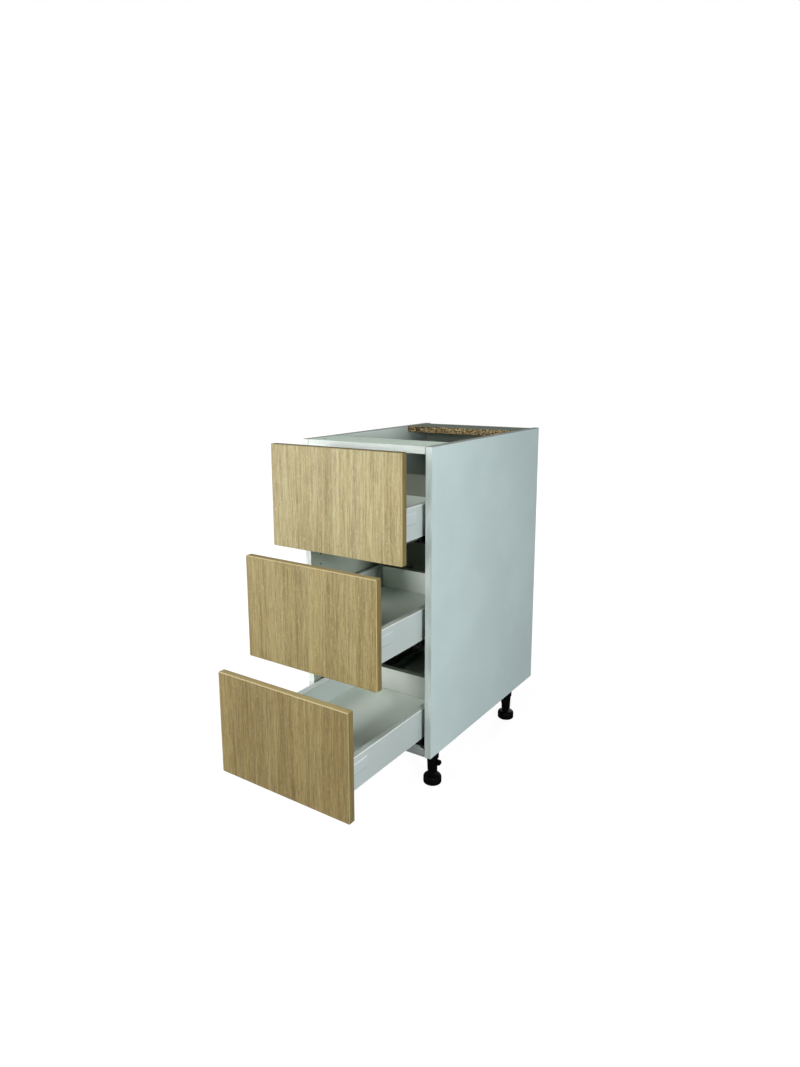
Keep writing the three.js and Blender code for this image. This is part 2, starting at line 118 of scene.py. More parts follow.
class CabinetBoards(bpy.types.PropertyGroup):
    """Edges, joints and raw chips of the boards."""

    front_corner: length("Front corner", "Radius of a drawer front's corners", 2.4)
    front_arris: length("Front arris", "Radius between a drawer front's face and its edge", 1.0)
    band: length("Edge band", "Thickness of the edge band on the boards", 0.8)
    seam: length("Seam", "Width of the line between the band and the board's face", 0.5)
    # Painted shade: width of the dark line drawn into a rail's end joints
    joint: length("Joint", "Width of the shaded joint at a rail's ends", 1.3)
    # Bores and grooves show raw chipboard, darkened further by painted shade
    bore_edge: length("Bore edge", "How far inside a board its bores and grooves turn dark", 0.3)
    raw_reach: length("Raw edge", "How far from a raw edge a board shows its chips", 0.5)
    chip_relief: length("Chip relief", "How far the flakes of the raw edge stand out", 0.5)
    chip_step: length("Chip step", "Distance between the points of the raw edge", 0.7)
    chip_size: length("Chip size", "Usual length of a flake", 2.4)
    chip_inset: length("Chip inset", "From the rail's outline to its raw edge", 0.9)
    chip_root: length("Chip root", "How deep the raw edge reaches into the rail", 0.5)
    chip_lift: length("Chip lift", "How far the lowest flakes stand out of the rail", 0.05)
    # Widths of the painted highlight and shade lines along a front's upper and right edges
    upper_line: length("Upper line", "Height of the pale line along a front's upper edge", 2.0)
    right_line: length("Right line", "Width of the pale line along a front's right edge", 1.6)
    # Painted light: where the back panel's inner face is drawn paler by its top
    pale_top: length("Pale top", "How far down the back panel is palest", 50)
    pale_fade: length("Pale fade", "How far under that the back panel turns dark", 80)


class CabinetDrawerSides(bpy.types.PropertyGroup):
    """Folded drawer sides with their tabs and caps."""

    sheet: length("Sheet", "Thickness of the folded sheet", 1.2)
    top_width: length("Top width", "Width across the top of the drawer side", 15)
    foot_width: length("Foot width", "Width across the foot of the drawer side", 27)
    fold_radius: length("Fold radius", "Radius at the middle of the sheet in the two top folds", 1.6)
    foot_radius: length("Foot radius", "Radius at the middle of the sheet in the folds at the base", 0.9)
    ledge_rise: length("Ledge rise", "Height of the ledge that carries the base", 3)
    ledge_depth: length("Ledge depth", "How far the ledge reaches under the base", 19)
    base_thickness: length("Base", "Thickness of the drawer's base", 16)
    tab_thickness: length("Tab", "Thickness of the tab behind the back board", 1.5)
    tab_setback: length("Tab setback", "From the tab's front face to the drawer side's rear end", 7.9)
    tab_reach: length("Tab reach", "How far the tab reaches past the foot of the side", 16)
    tab_drop: length("Tab drop", "How far the tab ends under the drawer side's top", 3)
    wedge_air: length("Wedge air", "Air between a back board and the wedge beside it", 0.1)
    wedge_start: length("Wedge start", "From the back board's front to the wedge's", 0.6)
    wedge_bite: length("Wedge bite", "How far the wedge reaches into the tab", 0.3)
    cap_corner: length("Cap corner", "Radius of the cap's corners", 2.4)
    cap_arris: length("Cap arris", "Radius of the cap's edges", 0.45)
    ridge_drop: length("Ridge drop", "From the cap's top to its ridge", 3.2)
    ridge_slope: length("Ridge slope", "Height over which the ridge rises", 0.4)
    # Painted highlights at the cap's ridge and rear, and painted shade along its foot
    ridge_line: length("Ridge line", "Height of the pale line at the ridge", 1.1)
    rear_line: length("Rear line", "Width of the pale line at the cap's rear", 1.4)
    dark_line: length("Dark line", "Height of the dark line at the cap's foot", 1.2)
    # Painted highlight along the sheet's lower edge
    foot_line: length("Foot line", "Height of the pale line at the sheet's lower edge", 1.1)


class CabinetRunners(bpy.types.PropertyGroup):
    """The three members of a runner."""

    steel: length("Steel", "Thickness of the runner's sheet", 1.2)
    bend: length("Bend", "Radius at the middle of the sheet in a bend", 1.2)
    channel_width: length("Channel width", "Outer width of a channel", 13)
    channel_height: length("Channel height", "Outer height of a channel", 17)
    slot: length("Slot", "Width of a channel's open slot", 4.4)
    web: length("Web", "Thickness of the middle member's web", 1.6)
    stiffener: length("Stiffener", "Thickness of the middle member's stiffener", 1.2)
    roller_play: length("Roller play", "Air between a roller and its channel", 0.4)
    axle_margin: length("Axle margin", "How far the web reaches past a roller's axle", 1.5)
    roller_rim: length("Roller rim", "Size of the slope between a roller's rim and its faces", 0.8)
    first_roller: number("First roller", "Place of the first roller along the web", 0.04, min=0, max=1)
    second_roller: number("Second roller", "Place of the second roller along the web", 0.4, min=0, max=1)
    dark_end: length("Dark end", "How far behind its front a cabinet member is near black", 60)
    dark_fade: length("Dark fade", "How far behind that it is grey", 40)


class CabinetLegs(bpy.types.PropertyGroup):
    """Plinth legs and their feet."""

    plate: length("Plate", "Thickness of the leg's plate", 4)
    plate_corner: length("Plate corner", "Radius of the plate's corners", 8)
    plate_arris: length("Plate arris", "Radius of the plate's edges", 0.6)
    sleeve_radius: length("Sleeve radius", "Radius of the sleeve under the plate", 15)
    sleeve_length: length("Sleeve length", "Length of the sleeve under the plate", 32)
    tube_radius: length("Tube radius", "Radius of the tube under the sleeve", 13)
    tube_taper: length("Tube taper", "How much the tube's radius shrinks to its lower end", 1.6)
    tube_clearance: length("Tube clearance", "Height of the tube's lower end over the floor", 28)
    bore_depth: length("Bore depth", "How far the bore for the stem is modelled", 40)
    gusset_thickness: length("Gusset thickness", "Thickness of a gusset under the plate", 2.4)
    gusset_reach: length("Gusset reach", "How far a gusset reaches past the sleeve", 9)
    gusset_height: length("Gusset height", "Height of a gusset", 16)
    gusset_root: length("Gusset root", "How far a gusset reaches into the sleeve", 1)
    gusset_end: length("Gusset end", "Width of a gusset's lower end", 2)
    lug_height: length("Lug height", "Height of the lug that takes the plinth's clip", 11)
    lug_width: length("Lug width", "Width of the lug", 9)
    lug_reach: length("Lug reach", "How far the lug stands out of the tube", 9)
    lug_level: length("Lug level", "Height of the lug's lower edge over the floor", 49)
    lug_root: length("Lug root", "How far the lug reaches into the tube", 2)
    lug_arris: length("Lug arris", "Radius of the lug's edges", 0.5)
    stem_play: length("Stem play", "Air between the stem and its bore", 0.4)
    ring: length("Ring", "Size of the small steps and slopes on the sleeve and tube", 0.8)
    stem_radius: length("Stem radius", "Radius over the stem's thread", 8)
    stem_length: length("Stem length", "Length of the threaded stem", 54)
    stem_tip: length("Stem tip", "Height of the slope at the stem's end", 1)
    thread_start: length("Thread start", "From the foot to the thread's first turn", 2)
    thread_pitch: length("Thread pitch", "Rise of the thread in one turn", 3)
    thread_depth: length("Thread depth", "Depth of the thread", 0.9)
    foot_height: length("Foot height", "Height of the foot under its stem", 21)
    foot_edge: length("Foot edge", "Radius of the foot's lower edge", 4)
    foot_shoulder: length("Foot shoulder", "Radius of the foot's upper edge", 6.5)
    foot_neck: length("Foot neck", "How far the foot rises and flares at its stem", 1.5)
    grip_depth: length("Grip depth", "Depth of the grip ribs round the foot", 0.35)
    grip_ribs: count("Grip ribs", "Number of grip ribs round a foot", 36)


class CabinetFasteners(bpy.types.PropertyGroup):
    """Screws and connectors."""

    cam_radius: length("Cam radius", "Radius of a connector cam", 7.3)
    cam_from_end: length("Cam from end", "From a board's end to the middle of a cam", 23.9)
    cam_from_edge: length("Cam from edge", "From a board's edge to the middle of a cam", 32)
    cam_height: length("Cam height", "Thickness of a cam", 9)
    cam_sink: length("Cam sink", "How far a cam lies under the board's face", 0.4)
    screw_radius: length("Screw radius", "Radius of a small screw's head", 3.4)
    screw_height: length("Screw height", "Height of a small screw's head", 1.7)
    cross_width: length("Cross width", "Width of a slot of the cross recess", 0.9)
    fixing_setback: length("Fixing setback", "From the carcass front to a runner's first screw", 37)
    fixing_span: length("Fixing span", "From a runner's first screw to its second", 224)
    fixing_drop: length("Fixing drop", "From a flange's top to its screws", 10.5)
    leg_screw_inset: length("Leg screw inset", "From the leg plate's edge to its screws", 7)
    low_tab_screw: length("Low tab screw", "From a drawer side's foot to its tab's low screw", 26)
    high_tab_screw: length("High tab screw", "From a drawer side's foot to its tab's high screw", 54)


class CabinetColours(bpy.types.PropertyGroup):
    """Colours of the finishes."""

    melamine: colour("Melamine", "Outer faces of the carcass boards", 206, 225, 225)
    # Painted shade: the carcass's inner faces are one white melamine, drawn pale by the top and darker lower
    # down
    inner_melamine: colour("Melamine, inside", "Inner faces of the carcass, at the top", 207, 220, 215)
    deep_melamine: colour("Melamine, deep", "Inner faces of the carcass, under the rails", 159, 169, 156)
    # Painted light and shade: these bands are one white edging, each drawn in the light and shade it gets,
    # darkest for the bottom panel's band under the bottom drawer
    left_band: colour("Left band", "Front edge of the left side", 220, 227, 221)
    right_band: colour("Right band", "Front edge of the right side", 200, 214, 210)
    rail_band: colour("Rail band", "Front edge of the front rail", 219, 228, 222)
    low_band: colour("Low band", "Front edge of the bottom panel", 150, 160, 160)
    # Painted shade: the sides' upper edges are the same white edging, drawn darker
    top_edge: colour("Top edge", "Upper edges of the sides", 172, 180, 172)
    # Painted light: the front rail is the carcass's white melamine, drawn a little paler
    rail_face: colour("Rail face", "Faces of the front rail", 224, 243, 227)
    rear_rail_face: colour("Rear rail face", "Faces of the rear rail", 122, 133, 118)
    # Painted shade: this dark colour is drawn into the joints at the rails' ends, under the rear rail and
    # along the caps' foot
    joint: colour("Joint", "Shaded joints between the boards", 48, 54, 50)
    # Painted shade: the drawers' bases are one white melamine, each drawn in its own shade at the front,
    # darkest for the middle and top drawers, and paler towards the rear
    base_bottom: colour("Bottom base", "Base of the bottom drawer, at its front", 245, 255, 247)
    base_middle: colour("Middle base", "Base of the middle drawer, at its front", 176, 186, 176)
    base_top: colour("Top base", "Base of the top drawer, at its front", 172, 181, 170)
    base_rear: colour("Base, rear", "Bases of the drawers, at their rear", 236, 246, 236)
    # Painted shade: the drawers' back boards are one white melamine, each drawn in its own shade from left to
    # right, darkest for the top board and the bottom board's right end
    back_bottom: colour("Bottom back board", "Back board of the bottom drawer, at its left", 244, 250, 242)
    back_middle: colour("Middle back board", "Back board of the middle drawer, at its left", 243, 254, 243)
    back_top: colour("Top back board", "Back board of the top drawer, at its left", 152, 154, 145)
    back_right_bottom: colour("Bottom back board, right", "The same board at its right", 140, 147, 139)
    back_right_middle: colour("Middle back board, right", "The same board at its right", 250, 253, 249)
    back_right_top: colour("Top back board, right", "The same board at its right", 152, 154, 145)
    # Painted shade: the back boards' upper edges are white edging drawn darker
    inner_edge: colour("Inner edge", "Top edge of the drawers' back boards", 128, 135, 123)
    chip_pale: colour("Pale chips", "Lightest flakes of raw chipboard", 214, 193, 142)
    chip_mid: colour("Golden chips", "Usual flakes of raw chipboard", 107, 89, 56)
    chip_dark: colour("Dark chips", "Darkest flakes and joints of raw chipboard", 46, 34, 20)
    back_inner: colour("Back, inside", "Lacquered face of the back panel", 110, 119, 97)
    # Painted light: the back panel's inner face drawn paler by its top
    back_upper: colour("Back, top", "Lacquered face of the back panel by its top", 176, 187, 175)
    back_outer: colour("Back, outside", "Raw rear face of the back panel", 121, 92, 62)
    oak_light: colour("Oak, light", "Light streaks of the oak decor", 173, 163, 123)
    oak_mid: colour("Oak, middle", "Ground colour of the oak decor", 156, 142, 103)
    oak_dark: colour("Oak, dark", "Dark streaks of the oak decor", 132, 119, 79)
    oak_gold: colour("Oak, golden", "Tint of the golden streaks", 251, 251, 243)
    oak_grey: colour("Oak, grey", "Tint of the streaks between them", 250, 252, 251)
    oak_pore: colour("Oak pores", "Pores of the oak decor", 102, 89, 55)
    oak_band_light: colour("Oak band, light", "Light streaks of the fronts' edge band", 143, 130, 84)
    oak_band_dark: colour("Oak band, dark", "Dark streaks of the fronts' edge band", 109, 93, 55)
    # Painted highlight along the line where a front's right band meets its face
    oak_arris: colour("Oak band's arris", "Line where a front's right band meets its face", 190, 172, 122)
    # Painted shade: the three fronts are one oak decor, each drawn darker the lower it stands
    tone_bottom: colour("Bottom tone", "Tint of the bottom front's decor", 219, 209, 192)
    tone_middle: colour("Middle tone", "Tint of the middle front's decor", 236, 230, 215)
    tone_top: colour("Top tone", "Tint of the top front's decor", 255, 255, 255)
    # Painted light and shade on the fronts' level edge bands: pale on the bottom front, darker on the middle,
    # darkest on the top
    level_bottom: colour("Bottom band's tone", "Tint of the bottom front's level bands", 255, 250, 236)
    level_middle: colour("Middle band's tone", "Tint of the middle front's level bands", 232, 226, 210)
    level_top: colour("Top band's tone", "Tint of the top front's level bands", 172, 166, 148)
    # Painted highlight along the upper edge of the bottom and middle fronts' faces, painted shade along the
    # top front's
    arris_bottom: colour("Bottom arris", "Upper line of the bottom front's face", 188, 174, 131)
    arris_middle: colour("Middle arris", "Upper line of the middle front's face", 182, 166, 121)
    arris_top: colour("Top arris", "Upper line of the top front's face", 122, 112, 78)
    coated: colour("Coated steel", "Powder coat of the drawer sides", 192, 205, 203)
    # Painted shade: the left sides' inner walls are the same coat, drawn dark at the front and a little
    # darker than the coat further back
    coated_left: colour("Coated steel, left", "Inner walls of the left sides, at the rear", 188, 200, 196)
    # Painted highlight on the upper folds
    coated_fold: colour("Coated steel, folded", "Upper folds of the drawer sides", 236, 242, 240)
    coated_front_left: colour("Coated steel, front left", "The same walls at the front", 86, 93, 91)
    # Painted shade on the right sides' tops and painted light on the left sides'
    coated_top_right: colour("Coated steel, right top", "Top faces of the right drawer sides", 189, 200, 191)
    coated_top_left: colour("Coated steel, left top", "Top faces of the left drawer sides", 228, 236, 232)
    cap: colour("Cap", "Caps on the drawer sides", 194, 207, 207)
    runner: colour("Runner steel", "Coated steel of the runners", 128, 137, 124)
    runner_end: colour("Runner end", "Front ends of the cabinet members", 20, 23, 22)
    roller: colour("Roller", "Rollers of the runners", 49, 52, 52)
    zinc: colour("Zinc", "Zinc plate of the brackets, cams and screws", 176, 178, 176)
    leg: colour("Leg plastic", "Moulded plastic of the legs", 2, 2, 2)


class CabinetStage(bpy.types.PropertyGroup):
    """Camera, floor and lamps."""

    camera_place: place("Camera place", "Where the camera stands", 0.9562, -1.43467, 0.96628)
    yaw: number("Yaw", "Turn of the view from +Y towards +X", -0.6141, subtype="ANGLE")
    pitch: number("Pitch", "Rise of the view over the horizon", -0.1891, subtype="ANGLE")
    roll: number("Roll", "Turn about the view", -0.0083, subtype="ANGLE")
    picture_width: count("Picture width", "Width of the picture", 800)
    picture_height: count("Picture height", "Height of the picture", 1067)
    focal_pixels: number("Focal length", "Focal length in pixels of the picture", 740.55)
    centre_x: number("Centre across", "Pixel column that the view runs through", 376.92)
    centre_y: number("Centre down", "Pixel row that the view runs through", 506.89)
    floor_radius: length("Floor radius", "Radius of the floor", 9000)
    floor_drop: length("Floor drop", "How far the floor lies under the feet", 0.5)
    floor_thickness: length("Floor thickness", "Thickness of the floor", 19.5)
    shadow_radius: length("Shadow radius", "How far from the middle the floor shows shadows", 1100)
    floor_bounce: colour("Floor bounce", "Colour of the floor as the lamps see it", 150, 150, 150)
    shadow_share: number("Shadow share", "Share of the floor's picture that takes shadows", 0.14)
    sky: number("Sky", "Strength of the light from all sides", 0.13)
    mirrored_sky: number("Mirrored sky", "Strength of the surroundings in glossy faces", 0.25)
    lamp_target: place("Lamps' target", "What every lamp is turned to", 0, -0.1, 0.45)


for lamp, (title, watts, stand, width) in LAMPS.items():
    CabinetStage.__annotations__ |= {
        lamp: power(title, f"Power of the {title.lower()}", watts),
        f"{lamp}_place": place(f"{title}'s place", f"Where the {title.lower()} stands", *stand),
        f"{lamp}_size": length(f"{title}'s size", f"Width of the {title.lower()}", width),
    }


def chosen(group):
    """The values of one of the groups, as the scene holds them."""
    return getattr(bpy.context.scene, f"cabinet_{group}")


def palette():
    return chosen("colours")


# ---------------------------------------------------------------------------
# Surfaces
# ---------------------------------------------------------------------------


class Shell:
    """One closed surface: points, four-sided faces, faces with more sides, and a material number for each."""

    def __init__(self, points, quads, caps, tags=0):
        self.points = np.asarray(points, float)
        outward = enclosed_volume(self.points, quads, caps) > 0
        self.quads = quads if outward else quads[:, ::-1]
        self.caps = caps if outward else [cap[::-1] for cap in caps]
        self.tags = np.broadcast_to(tags, len(quads)).astype(int)


def enclosed_volume(points, quads, caps):
    """A sixth of the sum, over the triangles, of one corner times the cross product of the other two."""
    fans = [quads[:, [0, 1, 2]], quads[:, [0, 2, 3]]]
    fans += [np.stack([np.full(len(cap) - 2, cap[0]), cap[1:-1], cap[2:]], axis=1) for cap in caps]
    corners = points[np.concatenate(fans)]
    return np.einsum("ij,ij->i", corners[:, 0], np.cross(corners[:, 1], corners[:, 2])).sum() / 6


def grid_quads(rows, columns):
    """The faces between each row of points and the next, where the last column joins the first."""
    row, column = np.meshgrid(np.arange(rows - 1), np.arange(columns), indexing="ij")
    near = row * columns + column
    far = row * columns + (column + 1) % columns
    return np.stack([near, far, far + columns, near + columns], axis=-1).reshape(-1, 4)


def ringed(rings, tags=0):
    """A shell of rings in rows, joined row by row, with one flat face over each end."""
    rows, columns = rings.shape[:2]
    ends = [np.arange(columns), np.arange(columns)[::-1] + (rows - 1) * columns]
    row_tags = np.repeat(tags, columns) if np.ndim(tags) else tags
    return Shell(rings.reshape(-1, 3), grid_quads(rows, columns), ends, row_tags)


def strip_ended(rings):
    """A shell of rings that each run out along one face of a sheet and back along the other.

    The ends are closed by quads across the sheet, from each point to the one that faces it.
    """
    rows, columns = rings.shape[:2]
    across = np.arange(columns // 2 - 1)
    end = np.stack([across, across + 1, columns - 2 - across, columns - 1 - across], axis=1)
    quads = np.concatenate([grid_quads(rows, columns), end, end[:, ::-1] + (rows - 1) * columns])
    return Shell(rings.reshape(-1, 3), quads, [])


def outline_of(width, height, radius, steps=6):
    """A rectangle's corner centres and the directions out of them: four quarter turns in a row."""
    angle = np.arange(4)[:, None] * math.pi / 2 + np.linspace(0, math.pi / 2, steps)
    directions = np.stack([np.cos(angle), np.sin(angle)], axis=-1).reshape(-1, 2)
    quarter = np.repeat(np.array([[1, 1], [-1, 1], [-1, -1], [1, -1]]), steps, axis=0)
    centres = quarter * (np.array([width, height]) / 2 - radius)
    return centres, directions


def edge_profile(thickness, arris, steps=5):
    """Inset and depth from one face over the edge to the other: quarter turn, straight, quarter turn."""
    turn = np.linspace(0, math.pi / 2, steps)
    inset = arris * np.concatenate([1 - np.sin(turn), 1 - np.cos(turn)])
    depth = np.concatenate([arris * (1 - np.cos(turn)), thickness - arris * (1 - np.sin(turn))])
    return inset, depth


def on_axis(flat, depth, axis):
    """Points with two places in a plane and a depth across it, as places in X, Y and Z."""
    depths = np.broadcast_to(depth, flat.shape[:-1])[..., None]
    return np.concatenate([flat, depths], axis=-1)[..., ORDERS[axis]]


def slab(low, high, axis, corner, arris):
    """A plate between two corners: the rounded outline, drawn in by the inset at each depth of the edge."""
    low, high = np.array(low), np.array(high)
    size, middle = high - low, (high + low) / 2
    thickness = size[AXES[axis]]
    across, along = [k for k in range(3) if k != AXES[axis]]
    centres, directions = outline_of(size[across], size[along], corner)
    inset, depth = edge_profile(thickness, arris)
    flat = centres + (corner - inset)[:, None, None] * directions
    return ringed(on_axis(flat, (depth - thickness / 2)[:, None], axis) + middle)


def bent_line(corners, radii, steps=6):
    """Points of a line with an arc at each inner corner, and the unit normal at each point.

    An arc turns from the one direction to the other about a centre that lies its radius away from both lines.
    """
    corners = np.array(corners, float)
    along = np.diff(corners, axis=0)
    along /= np.linalg.norm(along, axis=1)[:, None]
    heading = np.unwrap(np.arctan2(along[:, 1], along[:, 0]))
    points, angles = [corners[:1]], [heading[:1]]
    for corner, radius, before, after in zip(corners[1:-1], radii, heading[:-1], heading[1:]):
        side = math.copysign(1, after - before)
        back = radius * math.tan(abs(after - before) / 2)
        start = corner - back * np.array([math.cos(before), math.sin(before)])
        centre = start + side * radius * np.array([-math.sin(before), math.cos(before)])
        angle = np.linspace(before, after, steps)
        points.append(centre + side * radius * np.stack([np.sin(angle), -np.cos(angle)], axis=1))
        angles.append(angle)
    points = np.concatenate([*points, corners[-1:]])
    angles = np.concatenate([*angles, heading[-1:]])
    return points, np.stack([-np.sin(angles), np.cos(angles)], axis=1)


def sheet_ring(corners, radii, thickness):
    """A folded sheet's section: its middle line moved aside by half the thickness, out and back."""
    points, normals = bent_line(corners, radii)
    reach = normals * thickness / 2
    return np.concatenate([points + reach, (points - reach)[::-1]])


def drawn_along_y(section, hand, places):
    """A section of distance from the middle and height, held at each place along Y."""
    ring = np.stack([hand * section[:, 0], np.zeros(len(section)), section[:, 1]], axis=1)
    return ring + np.array(places)[:, None, None] * np.array([0, 1, 0])


def turned(profile, centre, sides=48, change=None):
    """A profile of radius and height turned about Z: at each angle a point lies its radius out.

    A change is a factor on the radius, worked out from the angle and the height.
    """
    profile = np.array(profile, float)
    angle = np.linspace(0, 2 * math.pi, sides, endpoint=False)[None, :]
    radius, height = profile[:, :1], profile[:, 1:]
    if change is not None:
        radius = radius * change(angle, height)
    spread = np.broadcast_to(height, (len(profile), sides))
    rings = np.stack([radius * np.cos(angle), radius * np.sin(angle), spread], axis=-1)
    return rings + np.array(centre)


def smooth(value, low, high):
    """0 under low, 1 over high, and 3t^2 - 2t^3 between them."""
    share = np.clip((value - low) / (high - low), 0, 1)
    return share * share * (3 - 2 * share)


def turned_to(points, centre, axis, side):
    """Points about the origin, with their height laid along the side of an axis, moved to a centre."""
    flipped = points * np.array([1, 1, side])
    return flipped[..., ORDERS[axis]] + np.array(centre)


def sunk_disc(radius, depth, rings, sides, height_at, centre, axis, side):
    """A disc whose points lie on circles, at the height worked out from x, y and their share of the radius.

    One more circle at the rim drops to the depth, and the two ends are closed by flat faces.
    """
    reach = np.concatenate([np.linspace(0.02, 1, rings), [1.0]]) * radius
    angle = np.linspace(0, 2 * math.pi, sides, endpoint=False)
    out, turn = np.meshgrid(reach, angle, indexing="ij")
    x, y = out * np.cos(turn), out * np.sin(turn)
    z = height_at(x, y, out / radius)
    z[-1] = -depth
    return ringed(turned_to(np.stack([x, y, z], axis=-1), centre, axis, side))


def cross_mask(x, y, inner, outer):
    """1 in the two slots of a cross, and 0 past the outer distance from their middle lines."""
    return 1 - smooth(np.minimum(np.abs(x), np.abs(y)), inner, outer)


def crossed_head(radius, height, cross, centre, axis, side):
    """A screw's head: a dome whose height falls with the square of the radius, less a cross.

    The cross is as deep as its mask says, and fades out towards the rim.
    """

    def height_at(x, y, share):
        slot = cross_mask(x, y, cross * 0.4, cross * 0.7) * (1 - smooth(share, 0.5, 0.75))
        return height * (1 - 0.55 * share**2 - 0.6 * slot)

    return sunk_disc(radius, height, 11, 32, height_at, centre, axis, side)


def cam_disc(radius, height, centre, axis, side):
    """A connector cam: a flat disc with a raised rim, a cross recess and a sunk notch at one side."""

    def height_at(x, y, share):
        rim = 0.3 * smooth(share, 0.8, 0.9)
        cross = 2.0 * cross_mask(x, y, 0.07 * radius, 0.13 * radius) * (1 - smooth(share, 0.5, 0.6))
        notch = smooth(x / radius, 0.62, 0.7) * (1 - smooth(np.abs(y) / radius, 0.15, 0.25))
        return (rim - cross - 0.8 * notch - 0.3) * MILLIMETRE

    return sunk_disc(radius, height, 18, 48, height_at, centre, axis, side)


def chip_relief(across, up, size):
    """Height of raw chipboard: each point takes the height and slope of the flake whose middle is nearest.

    Distances are counted double across the board's thickness, because flakes lie flat in it.
    """
    draw = np.random.default_rng(CHIP_SEED)
    span = across.max() - across.min()
    rise = up.max() - up.min()
    flakes = int(2.4 * span * rise / size**2)
    middles = draw.random((flakes, 2)) * [span, rise] + [across.min(), up.min()]
    level = draw.random(flakes)
    slope = draw.normal(0, 0.25, (flakes, 2))
    offset_x = across[..., None] - middles[:, 0]
    offset_z = up[..., None] - middles[:, 1]
    nearest = np.argmin(offset_x**2 + (2 * offset_z) ** 2, axis=-1)[..., None]
    near_x = np.take_along_axis(offset_x, nearest, axis=-1)[..., 0]
    near_z = np.take_along_axis(offset_z, nearest, axis=-1)[..., 0]
    nearest = nearest[..., 0]
    return level[nearest] + (slope[nearest, 0] * near_x + slope[nearest, 1] * near_z) / size


def make_piece(name, shells, body, materials, stands_for=(), sharp=32):
    """One mesh of all the shells, riding on a body. Edges that bend more than the sharp angle stay crisp."""
    starts = np.cumsum([0] + [len(shell.points) for shell in shells])
    faces, tags = [], []
    for shell, start in zip(shells, starts):
        faces += (shell.quads + start).tolist()
        tags.append(shell.tags)
        faces += [(cap + start).tolist() for cap in shell.caps]
        tags.append(np.zeros(len(shell.caps), int))
    mesh = bpy.data.meshes.new(name)
    mesh.from_pydata(np.concatenate([shell.points for shell in shells]).tolist(), [], faces)
    mesh.polygons.foreach_set("use_smooth", np.ones(len(faces), bool))
    mesh.polygons.foreach_set("material_index", np.concatenate(tags).astype(np.int32))
    mesh.set_sharp_from_angle(angle=math.radians(sharp))
    for material in materials:
        mesh.materials.append(material)
    if mesh.validate():
        raise RuntimeError(f"the mesh of {name} had faults")
    piece = bpy.data.objects.new(name, mesh)
    bpy.context.scene.collection.objects.link(piece)
    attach(piece, body)
    if stands_for:
        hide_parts(*stands_for)
    return piece


def dress(node, material):
    """Gives a CAD node its finish."""
    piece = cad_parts.get(node)
    if piece is None:
        raise RuntimeError(f"the frame has no node named {node}")
    if not piece.material_slots:
        piece.data.materials.append(material)
    for holder in piece.material_slots:
        holder.material = material


# ---------------------------------------------------------------------------
# Shaders
# ---------------------------------------------------------------------------


class Term:
    """A value in a shader. Arithmetic on it adds Math nodes."""

    def __init__(self, tree, socket):
        self.tree = tree
        self.socket = socket

    def reckoned(self, operation, first, second):
        return self.tree.node("ShaderNodeMath", {"operation": operation}, {0: first, 1: second})

    def __add__(self, other):
        return self.reckoned("ADD", self, other)

    def __sub__(self, other):
        return self.reckoned("SUBTRACT", self, other)

    def __rsub__(self, other):
        return self.reckoned("SUBTRACT", other, self)

    def __mul__(self, other):
        return self.reckoned("MULTIPLY", self, other)

    __radd__ = __add__
    __rmul__ = __mul__


